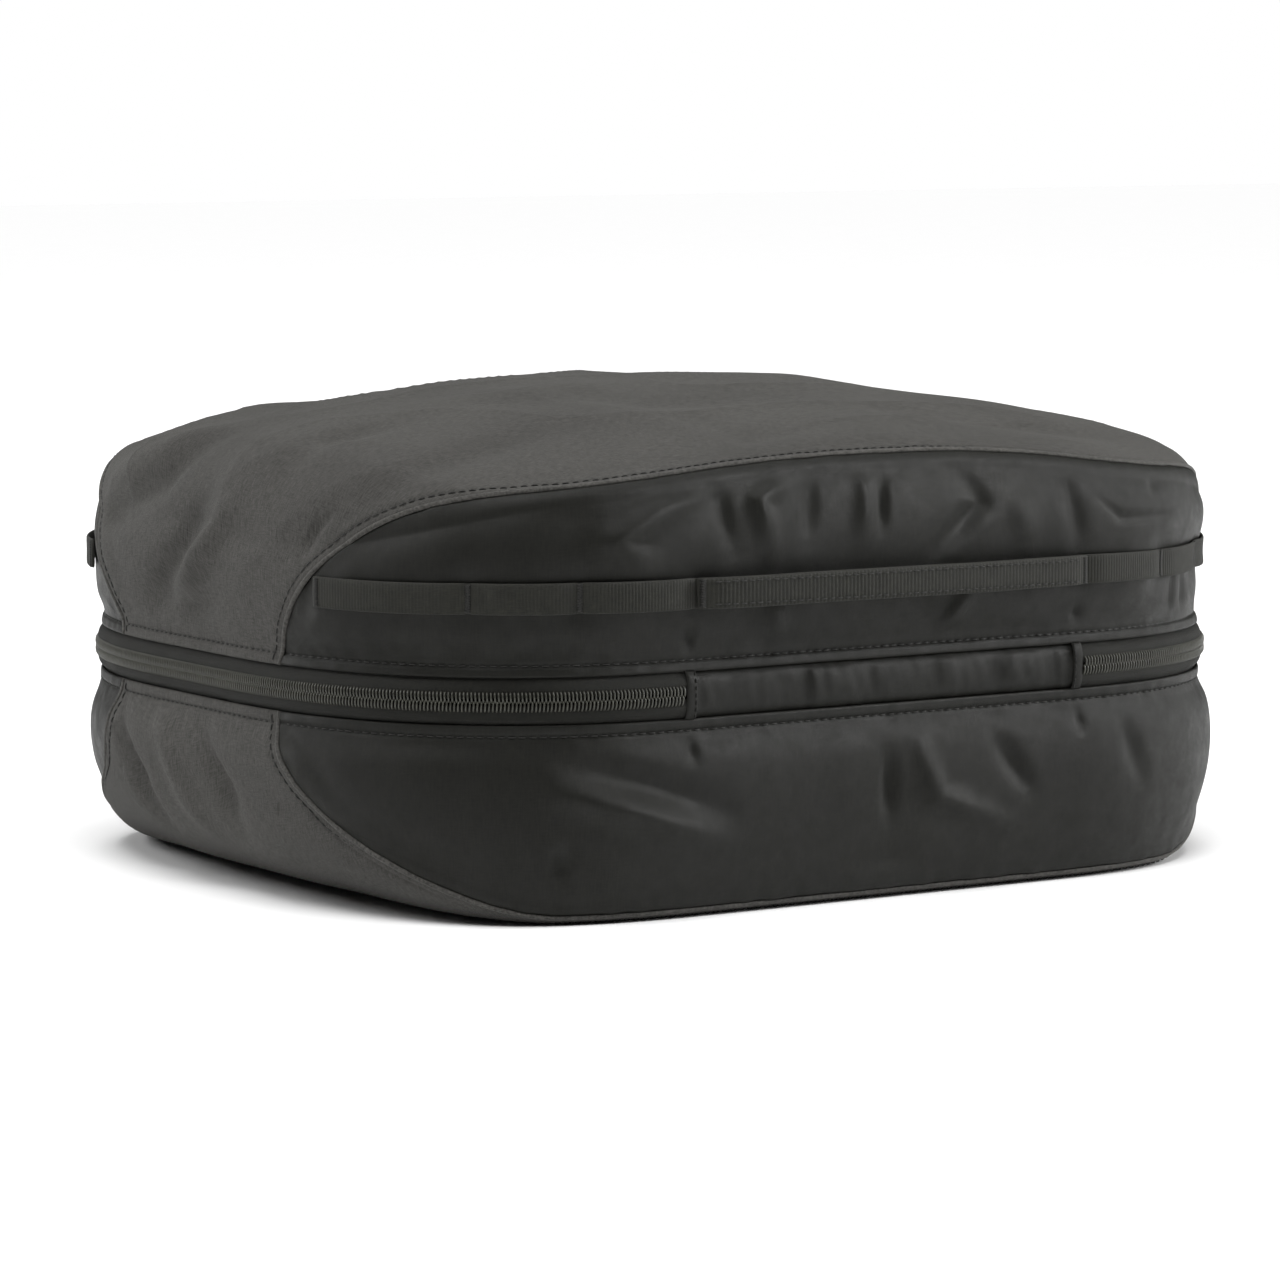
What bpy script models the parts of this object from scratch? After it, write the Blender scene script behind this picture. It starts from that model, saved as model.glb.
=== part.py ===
"""Soft clamshell packing cube: two fabric halves joined by a zip and hinged along one long side.

Metres, +Z up. The origin is the centre of the resting face. +X runs along the long sides,
the hinge side faces -Y and the zip sliders meet at the middle of the +Y side.
Every fabric wall lies on one of two smooth surfaces, upper and lower, that are described by
s, the distance around the zip ring from the middle of the hinge side, and h, the distance
from the mouth edge up the wall, over the shoulder and towards the crown.
"""
import math

import bmesh
import bpy
import numpy as np

# ------------------------------------------------------------------ driving dimensions
OBJECT_NAME = "packing_cube"
HALF_LENGTH = 0.182          # zip ring, half of the long side
HALF_DEPTH = 0.1455          # zip ring, half of the short side
STRAIGHT_LONG = 0.070        # half of the straight run on each long side
STRAIGHT_END = 0.020         # half of the straight run on each end
CORNER_POWER = 2.45          # roundness of the plan corners (2 is an ellipse)
ZIP_LEVEL = 0.0715           # zip centre above the resting face
LID_RISE = 0.0920            # crown of the lid above the zip centre
MOUTH = 0.0075               # mouth edge of each half, above or below the zip centre
FABRIC = 0.0012              # wall thickness, fabric with its coating and foam backing
CLEAR = 0.0003               # gap between pieces that touch

# wall profile, as inset from the zip ring
WALL_SAMPLES = 40
EDGE_INSET = 0.0020          # mouth edge and shoulder line
PINCH_INSET = 0.0014         # extra inset where the wall dips beside the zip
PINCH_RISE = 0.0125
PINCH_WIDTH = 0.0055
WALL_BULGE = 0.0035          # how far the middle of a wall swells past its edges
LID_BULGE_POWER = 1.8        # above 1 the fullest part of a wall sits above its middle
BASE_BULGE_POWER = 1.0
LID_DROP_SIDE = 0.0185       # fall of the lid's dome from its middle to the long sides
LID_DROP_END = 0.0200        # the same to the ends
LID_DROP_CORNER = 0.0060     # extra fall towards the four corners
DROP_END_POWER = 2.5
LID_SHOULDER_END = 0.022     # shoulder radius over the ends
LID_SHOULDER_SIDE = 0.0045   # shoulder radius along the long sides
BASE_SHOULDER_END = 0.034
BASE_SHOULDER_SIDE = 0.006

# seams between the cover strips and the side panels
SEAM_FOOT_Y = 0.055          # where a seam meets the mouth edge, on the end walls
SEAM_TOP_X = 0.119           # where a seam joins the long edge of the cover
LID_SEAM_SHARE = 0.85        # place of a seam's long edge on the shoulder, as a share of its arc
BASE_SEAM_SHARE = 0.45
LID_SEAM_LEAN = 1.5          # above 1 a seam leaves its foot at a slant, 1 is an ellipse
BASE_SEAM_LEAN = 1.1
SEAM_HALF_GAP = 0.0016
SEAM_START_ANGLE = 0.06      # radians, first section of a side panel
SEAM_FOOT_STEP = 0.001       # from a seam's foot to the next column of the cover
PIPING_RADIUS = 0.0011
PIPING_PROUD = 0.0002
BINDING_DEPTH = 0.0075
BINDING_THICKNESS = 0.0010

# zip
HINGE_HALF_SPAN = 0.077      # from the middle of the hinge side to each zip end
COIL_RADIUS = 0.00105
COIL_RISE = 0.0017           # centre of each coil row from the zip centre
COIL_INSET = 0.0011
CORNER_LEAD = 0.012          # length past the straight run before the corner stations begin
CORNER_STEPS = 12
TAPE_SHORT = 0.0006          # gap between a zip tape and the middle of its end tab
TAPE_THICKNESS = 0.0006
TAPE_PROFILE = [(0.0026, 0.0009), (0.0047, 0.0070), (0.0062, 0.0125)]   # inset, rise
HINGE_PROFILE = [(0.0062, -0.0125), (0.0047, -0.0070), (0.0018, 0.0),
                 (0.0047, 0.0070), (0.0062, 0.0125)]
HINGE_THICKNESS = 0.0008
END_TAB_PROFILE = [(0.0013, -0.0068), (0.0004, 0.0), (0.0013, 0.0068)]
END_TAB_WIDTH = 0.0040
END_TAB_THICKNESS = 0.0007

# zip sliders and pulls
WING_LENGTH = 0.0090
WING_HEIGHT = 0.0084
WING_THICKNESS = 0.0012
INNER_WING_INSET = 0.0044
INNER_WING_HEIGHT = 0.0068
POST_THICKNESS = 0.0006
POST_LENGTH = 0.0016
SLIDER_OFFSET = 0.0056       # each slider's middle from the middle of the front
BAIL_LENGTH = 0.0064
BAIL_WIDTH = 0.0024
BAIL_HOLE = 0.0040
BAIL_STANDOFF = 0.0022
BAIL_THICKNESS = 0.0010
INNER_WING_SHORT = 0.0010    # the inner wing is this much shorter than the outer one
LEG_RELIEF = 0.0002          # the bail's legs are this much narrower than its bridge
LINK_WIRE = 0.0006
LINK_HALF_WIDTH = 0.0028
LINK_LENGTH = 0.0080
GRIP_LENGTH = 0.0220
GRIP_WIDTH = 0.0080
GRIP_THICKNESS = 0.0022
GRIP_EDGE = 0.0008

# webbing ladder and grab handle
WEBBING_WIDTH = 0.0100
WEBBING_THICKNESS = 0.0012
WEBBING_RISE = 0.0331
BARTACKS = [0.077, 0.117, 0.152]     # bartacks, measured from the middle of a long side
STRAP_END_MARGIN = 0.006     # strap end to the seam
LOOP_BOW = 0.0008            # how far each webbing loop stands off the wall
HANDLE_BOW = 0.0054          # the same for the handle between the first pair of bartacks
HANDLE_THICKNESS = 0.0016
BOW_POWER = 0.6              # under 1 the loops are flatter in the middle than a sine

# mesh divider across the lid's mouth, in two panels with a zip between them
DIVIDER_RISE = 0.0150
DIVIDER_INSET = 0.0045
DIVIDER_THICKNESS = 0.0008
DIVIDER_ZIP_Y = 0.085
DIVIDER_ZIP_HALF = 0.150
DIVIDER_SLOT = 0.0060
DIVIDER_TAPE = 0.0110
DIVIDER_TAPE_OVERRUN = 0.0060

COVER_GREY = (0.085, 0.083, 0.078)
PANEL_BLACK = (0.022, 0.022, 0.020)
WEBBING_OLIVE = (0.030, 0.031, 0.024)
MESH_BLACK = (0.018, 0.018, 0.018)
METAL_BLACK = (0.035, 0.035, 0.036)


# ------------------------------------------------------------------ plan outline of the zip ring
def ring_table(samples=1600):
    """Points of the zip ring and their distances along it from the hinge side's middle."""
    angle = np.linspace(-math.pi / 2, 1.5 * math.pi, samples * 4 + 1)
    power = 2.0 / CORNER_POWER
    cos = np.round(np.cos(angle), 12)
    sin = np.round(np.sin(angle), 12)
    x = np.sign(cos) * (STRAIGHT_LONG + (HALF_LENGTH - STRAIGHT_LONG) * np.abs(cos) ** power)
    y = np.sign(sin) * (STRAIGHT_END + (HALF_DEPTH - STRAIGHT_END) * np.abs(sin) ** power)
    points = np.stack([x, y], 1)
    step = np.linalg.norm(np.diff(points, axis=0), axis=1)
    distance = np.concatenate([[0.0], np.cumsum(step)])
    keep = np.concatenate([[True], step > 1e-9])
    return points[keep], distance[keep]


RING_POINTS, RING_DISTANCE = ring_table()
PERIMETER = float(RING_DISTANCE[-1])
QUARTER = PERIMETER / 4.0


def ring_position(s):
    """Point on the zip ring at distance s from the middle of the hinge side."""
    s = s % PERIMETER
    x = np.interp(s, RING_DISTANCE, RING_POINTS[:, 0])
    y = np.interp(s, RING_DISTANCE, RING_POINTS[:, 1])
    return np.array([x, y])


def ring_normal(s, reach=0.0015):
    """Outward direction of the zip ring at s, averaged over a short reach."""
    tangent = ring_position(s + reach) - ring_position(s - reach)
    tangent = tangent / np.linalg.norm(tangent)
    return np.array([tangent[1], -tangent[0]])


def ring_distance_of(axis, value):
    """Distance s at which the first quarter of the ring reaches a given |x| (0) or |y| (1)."""
    quarter = RING_DISTANCE <= QUARTER
    coordinate = np.abs(RING_POINTS[quarter, axis])
    order = np.argsort(coordinate)
    return float(np.interp(value, coordinate[order], RING_DISTANCE[quarter][order]))


SEAM_FOOT_S = ring_distance_of(1, SEAM_FOOT_Y)
SEAM_TOP_S = ring_distance_of(0, SEAM_TOP_X)


def fold_distance(s):
    """Distance of s from the middle of the nearer long side, between 0 and a quarter."""
    s = abs((s + PERIMETER / 2) % PERIMETER - PERIMETER / 2)
    return min(s, PERIMETER / 2 - s)


# ------------------------------------------------------------------ wall surfaces
class HalfShell:
    """The outer surface of one half: sign is +1 for the lid and -1 for the base."""

    def __init__(self, sign, rise, drops, shoulders, bulge_power, seam):
        self.sign = sign
        self.rise = rise
        self.drop_side, self.drop_end, self.drop_corner = drops
        self.bulge_power = bulge_power
        self.shoulder_end, self.shoulder_side = shoulders
        self.seam_share, self.seam_lean = seam
        self.cache = {}

    def shoulder_radius(self, s):
        """Shoulder radius at s: large over the ends, small along the long sides."""
        span = SEAM_FOOT_S - SEAM_TOP_S
        blend = (fold_distance(s) - SEAM_TOP_S) / span
        blend = min(max(blend, 0.0), 1.0)
        blend = blend * blend * (3.0 - 2.0 * blend)
        return self.shoulder_side + (self.shoulder_end - self.shoulder_side) * blend

    def dome(self, x, y):
        """Rise of the top surface over a point of the plan, before the shoulder rounds it."""
        across = (y / HALF_DEPTH) ** 2
        along = (x / HALF_LENGTH) ** 2
        end = self.drop_end * along ** (DROP_END_POWER / 2)
        return self.rise - self.drop_side * across - end - self.drop_corner * across * along

    def profile(self, s):
        """Insets, rises and running lengths from the mouth edge to the end of the shoulder."""
        key = round(s % PERIMETER, 7)
        if key in self.cache:
            return self.cache[key]
        radius = self.shoulder_radius(s)
        base = ring_position(s)
        normal = ring_normal(s)
        start = base - EDGE_INSET * normal
        start_rise = self.dome(start[0], start[1]) - radius
        wall_rise = np.linspace(MOUTH, start_rise, WALL_SAMPLES)
        share = (wall_rise - MOUTH) / (start_rise - MOUTH)
        pinch = PINCH_INSET * np.exp(-((wall_rise - PINCH_RISE) / PINCH_WIDTH) ** 2)
        wall_inset = EDGE_INSET + pinch - WALL_BULGE * np.sin(math.pi * share ** self.bulge_power)
        turn = np.linspace(0.0, math.pi / 2, 24)[1:]
        top_inset = EDGE_INSET + radius * (1 - np.cos(turn))
        dome = self.dome(base[0] - top_inset * normal[0], base[1] - top_inset * normal[1])
        top_rise = dome - radius * (1 - np.sin(turn))
        inset = np.concatenate([wall_inset, top_inset])
        rise = np.concatenate([wall_rise, top_rise])
        length = np.concatenate([[0.0], np.cumsum(np.hypot(np.diff(inset), np.diff(rise)))])
        self.cache[key] = (inset, rise, length)
        return self.cache[key]

    def shoulder_length(self, s):
        """Value of h where the shoulder ends and the crown begins."""
        return float(self.profile(s)[2][-1])

    def long_edge(self, s):
        """Value of h of the seam along the top edge of a wall."""
        length = self.profile(s)[2]
        wall = length[WALL_SAMPLES - 1]
        return float(wall + self.seam_share * (length[-1] - wall))

    def point(self, s, h, lift=0.0):
        """Point at (s, h), moved out of the surface by lift."""
        inset, rise, length = self.profile(s)
        inset_here = np.interp(h, length, inset)
        rise_here = np.interp(h, length, rise)
        if lift:
            reach = 0.0008
            d_inset = np.interp(h + reach, length, inset) - np.interp(h - reach, length, inset)
            d_rise = np.interp(h + reach, length, rise) - np.interp(h - reach, length, rise)
            size = math.hypot(d_inset, d_rise)
            inset_here = inset_here - lift * d_rise / size
            rise_here = rise_here + lift * d_inset / size
        plan = ring_position(s) - inset_here * ring_normal(s)
        return (plan[0], plan[1], ZIP_LEVEL + self.sign * rise_here)

    def crown_point(self, s, share):
        """Point on the crown: share is 1 at the end of the shoulder and 0 in the middle."""
        plan = (ring_position(s) - self.profile(s)[0][-1] * ring_normal(s)) * share
        return (plan[0], plan[1], ZIP_LEVEL + self.sign * self.dome(plan[0], plan[1]))


LID = HalfShell(1, LID_RISE, (LID_DROP_SIDE, LID_DROP_END, LID_DROP_CORNER),
                (LID_SHOULDER_END, LID_SHOULDER_SIDE), LID_BULGE_POWER,
                (LID_SEAM_SHARE, LID_SEAM_LEAN))
BASE = HalfShell(-1, ZIP_LEVEL, (0.0, 0.0, 0.0),
                 (BASE_SHOULDER_END, BASE_SHOULDER_SIDE), BASE_BULGE_POWER,
                 (BASE_SEAM_SHARE, BASE_SEAM_LEAN))


# ------------------------------------------------------------------ seam line
def seam_place(shell, angle):
    """(s, h) on the rounded part of a seam: angle 0 is its foot, pi/2 the long edge."""
    s = SEAM_TOP_S + (SEAM_FOOT_S - SEAM_TOP_S) * math.cos(angle)
    return np.array([s, shell.long_edge(s) * max(math.sin(angle), 0.0) ** shell.seam_lean])


def seam_corner(shell, angle, offset):
    """(s, h) on the rounded part of a seam, moved towards the cover by offset."""
    turn = 0.01
    tangent = seam_place(shell, angle + turn) - seam_place(shell, angle - turn)
    normal = np.array([tangent[1], -tangent[0]]) / np.linalg.norm(tangent)
    place = seam_place(shell, angle) + offset * normal
    return float(place[0]), float(place[1])


def seam_quarter(shell, offset, side_steps, corner_steps):
    """(s, h) along a seam from the middle of the long side to its foot on the end wall."""
    stations = [SEAM_TOP_S * k / side_steps for k in range(side_steps)]
    run = [(s, shell.long_edge(s) + offset) for s in stations]
    for k in range(corner_steps + 1):
        share = k / corner_steps
        angle = math.pi / 2 + (SEAM_START_ANGLE - math.pi / 2) * share
        run.append(seam_corner(shell, angle, offset))
    return run


def mirrored_run(quarter):
    """A quarter run and its mirror image across the middle of the long side."""
    return [(-s, h) for s, h in reversed(quarter)] + quarter[1:]


# ------------------------------------------------------------------ scene helpers
def make_material(name, colour, roughness, metallic=0.0):
    material = bpy.data.materials.new(name)
    material.use_nodes = True
    shader = material.node_tree.nodes["Principled BSDF"]
    shader.inputs["Base Color"].default_value = (*colour, 1.0)
    shader.inputs["Roughness"].default_value = roughness
    shader.inputs["Metallic"].default_value = metallic
    material.diffuse_color = (*colour, 1.0)
    return material


def add_object(name, data, colour, roughness, metallic=0.0):
    """Link new geometry to the part's collection with a material of its own."""
    data.materials.append(make_material(name + "_material", colour, roughness, metallic))
    made = bpy.data.objects.new(name, data)
    bpy.data.collections[OBJECT_NAME].objects.link(made)
    return made


def add_empty(name, location):
    """A joint frame: pieces that move are its children."""
    empty = bpy.data.objects.new(name, None)
    empty.empty_display_size = 0.02
    bpy.data.collections[OBJECT_NAME].objects.link(empty)
    empty.location = location
    return empty


def set_parent(made, parent):
    """Parent without moving: geometry stays in world coordinates at rest."""
    bpy.context.view_layer.update()
    made.parent = parent
    made.matrix_parent_inverse = parent.matrix_world.inverted()


def mesh_from_faces(name, points, faces):
    mesh = bpy.data.meshes.new(name)
    mesh.from_pydata([tuple(map(float, p)) for p in points], [], faces)
    mesh.update()
    mesh.shade_smooth()
    return mesh


def solidify(made, thickness):
    """Thicken a shell inwards from its outer surface."""
    modifier = made.modifiers.new("thickness", "SOLIDIFY")
    modifier.thickness = thickness
    modifier.offset = -1.0
    modifier.use_even_offset = True
    return made


def grid_faces(columns, rows, closed, flip):
    """Quads of a grid stored column by column; closed joins the last column to the first."""
    faces = []
    last = columns if closed else columns - 1
    for i in range(last):
        j = (i + 1) % columns
        for k in range(rows - 1):
            quad = (i * rows + k, j * rows + k, j * rows + k + 1, i * rows + k + 1)
            faces.append(tuple(reversed(quad)) if flip else quad)
    return faces


# ------------------------------------------------------------------ fabric panels
def cover_columns(shell, side_steps, corner_steps, end_steps):
    """(s, h) of the cover's lower edge, once around from the middle of the hinge side."""
    quarter = seam_quarter(shell, SEAM_HALF_GAP, side_steps, corner_steps)
    first_end = SEAM_FOOT_S + SEAM_HALF_GAP + SEAM_FOOT_STEP
    for k in range(end_steps + 1):
        quarter.append((first_end + (QUARTER - first_end) * k / end_steps, 0.0))
    half = quarter + [(PERIMETER / 2 - s, h) for s, h in reversed(quarter[:-1])]
    return half + [(PERIMETER - s, h) for s, h in reversed(half[1:-1])]


def build_cover(name, shell, wall_rows, crown_shares, columns):
    """The strip that runs up one end, across the top or bottom, and down the other end."""
    points = []
    for s, h in columns:
        shoulder = shell.shoulder_length(s)
        for k in range(wall_rows):
            points.append(shell.point(s, h + (shoulder - h) * k / (wall_rows - 1)))
        for share in crown_shares:
            points.append(shell.crown_point(s, share))
    rows = wall_rows + len(crown_shares)
    faces = grid_faces(len(columns), rows, True, shell.sign < 0)
    centre = len(points)
    points.append((0.0, 0.0, ZIP_LEVEL + shell.sign * shell.rise))
    for i in range(len(columns)):
        j = (i + 1) % len(columns)
        fan = (i * rows + rows - 1, j * rows + rows - 1, centre)
        faces.append(tuple(reversed(fan)) if shell.sign < 0 else fan)
    made = add_object(name, mesh_from_faces(name, points, faces), COVER_GREY, 0.85)
    return solidify(made, FABRIC)


def build_side_panel(name, shell, front, rows):
    """A coated side panel that wraps round two vertical corners of the plan."""
    middle = PERIMETER / 2 if front else 0.0
    run = mirrored_run(seam_quarter(shell, -SEAM_HALF_GAP, 5, 12))
    points = []
    for s, h in run:
        for k in range(rows):
            points.append(shell.point(middle + s, h * k / (rows - 1)))
    faces = grid_faces(len(run), rows, False, shell.sign < 0)
    made = add_object(name, mesh_from_faces(name, points, faces), PANEL_BLACK, 0.38)
    return solidify(made, FABRIC)


def curve_object(name, points, radius, resolution, colour, roughness, cyclic=False):
    """A round bar along a polyline."""
    curve = bpy.data.curves.new(name, "CURVE")
    curve.dimensions = "3D"
    curve.bevel_depth = radius
    curve.bevel_resolution = resolution
    curve.use_fill_caps = not cyclic
    spline = curve.splines.new("POLY")
    spline.points.add(len(points) - 1)
    for slot, point in zip(spline.points, points):
        slot.co = (*map(float, point), 1.0)
    spline.use_cyclic_u = cyclic
    return add_object(name, curve, colour, roughness)


def build_piping(name, shell, front):
    """The folded seam bead that stands up between a cover and a side panel."""
    middle = PERIMETER / 2 if front else 0.0
    run = mirrored_run(seam_quarter(shell, 0.0, 5, 12))
    points = [shell.point(middle + s, h, PIPING_PROUD) for s, h in run]
    return curve_object(name, points, PIPING_RADIUS, 1, COVER_GREY, 0.8)


def build_binding(name, shell, front):
    """The tape that binds the raw seam allowance inside the bag."""
    middle = PERIMETER / 2 if front else 0.0
    run = mirrored_run(seam_quarter(shell, 0.0, 3, 8))[1:-1]
    depths = [FABRIC + 2 * CLEAR, FABRIC + BINDING_DEPTH]
    points = []
    for s, h in run:
        for depth in depths:
            points.append(shell.point(middle + s, h, -depth))
    faces = grid_faces(len(run), 2, False, shell.sign < 0)
    made = add_object(name, mesh_from_faces(name, points, faces), WEBBING_OLIVE, 0.8)
    solidify(made, BINDING_THICKNESS).modifiers["thickness"].offset = 0.0
    return made


# ------------------------------------------------------------------ zip
def ring_ribbon(name, stations, profile, sign, thickness, colour, roughness):
    """A band along the ring, with an (inset, rise) profile at each station s."""
    points = []
    for s in stations:
        base = ring_position(s)
        normal = ring_normal(s)
        for inset, rise in profile:
            plan = base - inset * normal
            points.append((plan[0], plan[1], ZIP_LEVEL + sign * rise))
    faces = grid_faces(len(stations), len(profile), False, sign < 0)
    made = add_object(name, mesh_from_faces(name, points, faces), colour, roughness)
    return solidify(made, thickness)


def zip_stations(start):
    """Stations from one zip end round the front to the other, closer in the corners."""
    corner_end = QUARTER - STRAIGHT_END
    corner = np.linspace(STRAIGHT_LONG + CORNER_LEAD, corner_end, CORNER_STEPS + 1).tolist()
    half = [start] + corner + [PERIMETER / 2 - s for s in reversed(corner)] + [PERIMETER / 2]
    return half + [PERIMETER - s for s in reversed(half[:-1])]


def build_zip_half(prefix, sign):
    tape = ring_ribbon(prefix + "_zip_tape", zip_stations(HINGE_HALF_SPAN + TAPE_SHORT),
                       TAPE_PROFILE, sign, TAPE_THICKNESS, WEBBING_OLIVE, 0.85)
    points = []
    for s in zip_stations(HINGE_HALF_SPAN + END_TAB_WIDTH / 2 + CLEAR):
        plan = ring_position(s) - COIL_INSET * ring_normal(s)
        points.append((plan[0], plan[1], ZIP_LEVEL + sign * COIL_RISE))
    coil = curve_object(prefix + "_zip_coil", points, COIL_RADIUS, 1, WEBBING_OLIVE, 0.5)
    return [tape, coil]


def build_hinge():
    """The fabric hinge between the two zip ends, and the folded tab over each zip end."""
    stations = np.linspace(-HINGE_HALF_SPAN, HINGE_HALF_SPAN, 9)
    made = [ring_ribbon("hinge_panel", stations, HINGE_PROFILE, 1, HINGE_THICKNESS,
                        PANEL_BLACK, 0.4)]
    for name, side in (("zip_end_tab_right", 1), ("zip_end_tab_left", -1)):
        middle = side * HINGE_HALF_SPAN
        stations = [middle - END_TAB_WIDTH / 2, middle + END_TAB_WIDTH / 2]
        made.append(ring_ribbon(name, stations, END_TAB_PROFILE, 1, END_TAB_THICKNESS,
                                PANEL_BLACK, 0.45))
    return made


# ------------------------------------------------------------------ sliders and pulls
def add_box(bm, centre, size):
    """A box as a separate cube in a bmesh."""
    made = bmesh.ops.create_cube(bm, size=1.0)
    for vertex in made["verts"]:
        vertex.co = [centre[i] + vertex.co[i] * size[i] for i in range(3)]


def union_boxes(name, boxes, colour, roughness, metallic):
    """One solid from boxes that overlap, joined with exact Boolean unions."""
    cutters = bpy.data.collections[OBJECT_NAME + "_cutters"]
    made = None
    for index, (centre, size) in enumerate(boxes):
        bm = bmesh.new()
        add_box(bm, centre, size)
        mesh = bpy.data.meshes.new(name if index == 0 else f"{name}_tool_{index}")
        bm.to_mesh(mesh)
        bm.free()
        if index == 0:
            made = add_object(name, mesh, colour, roughness, metallic)
            continue
        tool = bpy.data.objects.new(mesh.name, mesh)
        cutters.objects.link(tool)
        tool.hide_render = True
        tool.display_type = "WIRE"
        union = made.modifiers.new(f"join_{index}", "BOOLEAN")
        union.operation = "UNION"
        union.solver = "EXACT"
        union.object = tool
    return made


def build_slider(name, x, y, z, out):
    """Slider body: an outer and an inner wing on a thin post, with a bail for the pull.

    The zip lies along X, the face of the coil is at y, and out is +1 or -1 along Y.
    """
    face = y + out * CLEAR
    outer_y = face + out * WING_THICKNESS / 2
    inner_y = y - out * (INNER_WING_INSET + WING_THICKNESS / 2)
    wing_top = face + out * WING_THICKNESS
    post_span = abs(outer_y - inner_y)
    bridge_y = wing_top + out * (BAIL_STANDOFF + BAIL_THICKNESS / 2)
    leg_length = BAIL_STANDOFF + BAIL_THICKNESS / 2 + WING_THICKNESS / 2
    leg_x = BAIL_HOLE / 2 + (BAIL_LENGTH - BAIL_HOLE) / 4
    leg_width = (BAIL_LENGTH - BAIL_HOLE) / 2
    boxes = [
        ((x, outer_y, z), (WING_LENGTH, WING_THICKNESS, WING_HEIGHT)),
        ((x, inner_y, z), (WING_LENGTH - INNER_WING_SHORT, WING_THICKNESS, INNER_WING_HEIGHT)),
        ((x, (outer_y + inner_y) / 2, z), (POST_LENGTH, post_span, POST_THICKNESS)),
        ((x, bridge_y, z), (BAIL_LENGTH, BAIL_THICKNESS, BAIL_WIDTH)),
    ]
    for side in (-1, 1):
        centre = (x + side * leg_x, outer_y + out * leg_length / 2, z)
        boxes.append((centre, (leg_width, leg_length, BAIL_WIDTH - LEG_RELIEF)))
    slider = union_boxes(name, boxes, METAL_BLACK, 0.4, 0.8)
    pivot = (x, wing_top + out * BAIL_STANDOFF / 2, z)
    return slider, pivot


def build_pull(prefix, pivot, side):
    """Wire link through the bail and the moulded grip on its end; side is +1 or -1 along X."""
    x, y, z = pivot
    end_x = x + side * LINK_LENGTH
    half = LINK_HALF_WIDTH
    corners = [(x, y, z - half), (end_x, y, z - half), (end_x, y, z + half), (x, y, z + half)]
    link = curve_object(prefix + "_pull_link", corners, LINK_WIRE, 1, METAL_BLACK, 0.4, True)
    start = end_x + side * (LINK_WIRE + CLEAR)
    centre = (start + side * GRIP_LENGTH / 2, y, z)
    bm = bmesh.new()
    add_box(bm, centre, (GRIP_LENGTH, GRIP_THICKNESS, GRIP_WIDTH))
    mesh = bpy.data.meshes.new(prefix + "_pull_grip")
    bm.to_mesh(mesh)
    bm.free()
    grip = add_object(prefix + "_pull_grip", mesh, MESH_BLACK, 0.6)
    bevel = grip.modifiers.new("edges", "BEVEL")
    bevel.width = GRIP_EDGE
    bevel.segments = 1
    return [link, grip]


# ------------------------------------------------------------------ webbing
def strap_bow(position, stops, bow):
    """Stand-off of a strap between stitched stops: 0 at each stop, bow in between."""
    for low, high in zip(stops[:-1], stops[1:]):
        if low <= position <= high:
            share = (position - low) / (high - low)
            height = HANDLE_BOW if low == -high else bow
            return height * math.sin(math.pi * share) ** BOW_POWER
    return 0.0


def strap_stations(stops, per_loop):
    """Stations along a strap: every stop and a few points between neighbours."""
    stations = [stops[0]]
    for low, high in zip(stops[:-1], stops[1:]):
        count = per_loop * 3 if low == -high else per_loop
        stations += [low + (high - low) * k / count for k in range(1, count + 1)]
    return stations


def build_strap(name, front, stops, stations, extra, thickness):
    """A strap on the lid's wall at the webbing height, extra further out than the ladder."""
    middle = PERIMETER / 2 if front else 0.0
    rise = WEBBING_RISE
    points = []
    for position in stations:
        s = middle + position
        inset, rises, _ = LID.profile(s)
        rest = min(np.interp(r, rises, inset) for r in
                   (rise - WEBBING_WIDTH / 2, rise, rise + WEBBING_WIDTH / 2))
        stand = rest - CLEAR - thickness - extra - strap_bow(position, stops, LOOP_BOW)
        plan = ring_position(s) - stand * ring_normal(s)
        for offset in (-WEBBING_WIDTH / 2, WEBBING_WIDTH / 2):
            points.append((plan[0], plan[1], ZIP_LEVEL + rise + offset))
    faces = grid_faces(len(stations), 2, False, False)
    made = add_object(name, mesh_from_faces(name, points, faces), WEBBING_OLIVE, 0.8)
    return solidify(made, thickness)


def seam_reach_at_webbing():
    """Distance from the middle of a long side to the seam at the webbing's height."""
    height = WEBBING_RISE + WEBBING_WIDTH / 2 - MOUTH
    angles = np.linspace(0.0, math.pi / 2, 90)
    seam = np.array([seam_place(LID, angle) for angle in angles])
    return float(np.interp(height, seam[:, 1], seam[:, 0])) - STRAP_END_MARGIN


def build_webbing():
    reach = seam_reach_at_webbing()
    stops = [-reach] + [-b for b in reversed(BARTACKS)] + BARTACKS + [reach]
    stations = strap_stations(stops, 4)
    made = []
    for name, front in (("back_webbing", False), ("front_webbing", True)):
        made.append(build_strap(name, front, stops, stations, 0.0, WEBBING_THICKNESS))
    extra = WEBBING_THICKNESS + CLEAR
    inner = [s for s in stations if abs(s) <= BARTACKS[0] + CLEAR]
    for name, front in (("back_handle", False), ("front_handle", True)):
        made.append(build_strap(name, front, stops, inner, extra, HANDLE_THICKNESS))
    return made


# ------------------------------------------------------------------ mesh divider
def flat_outline(name, outline, z, thickness, colour, roughness):
    """A flat plate from a 2D outline."""
    curve = bpy.data.curves.new(name, "CURVE")
    curve.dimensions = "2D"
    curve.fill_mode = "BOTH"
    curve.extrude = thickness / 2
    spline = curve.splines.new("POLY")
    spline.points.add(len(outline) - 1)
    for slot, (x, y) in zip(spline.points, outline):
        slot.co = (float(x), float(y), 0.0, 1.0)
    spline.use_cyclic_u = True
    made = add_object(name, curve, colour, roughness)
    made.location = (0.0, 0.0, z)
    return made


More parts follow.
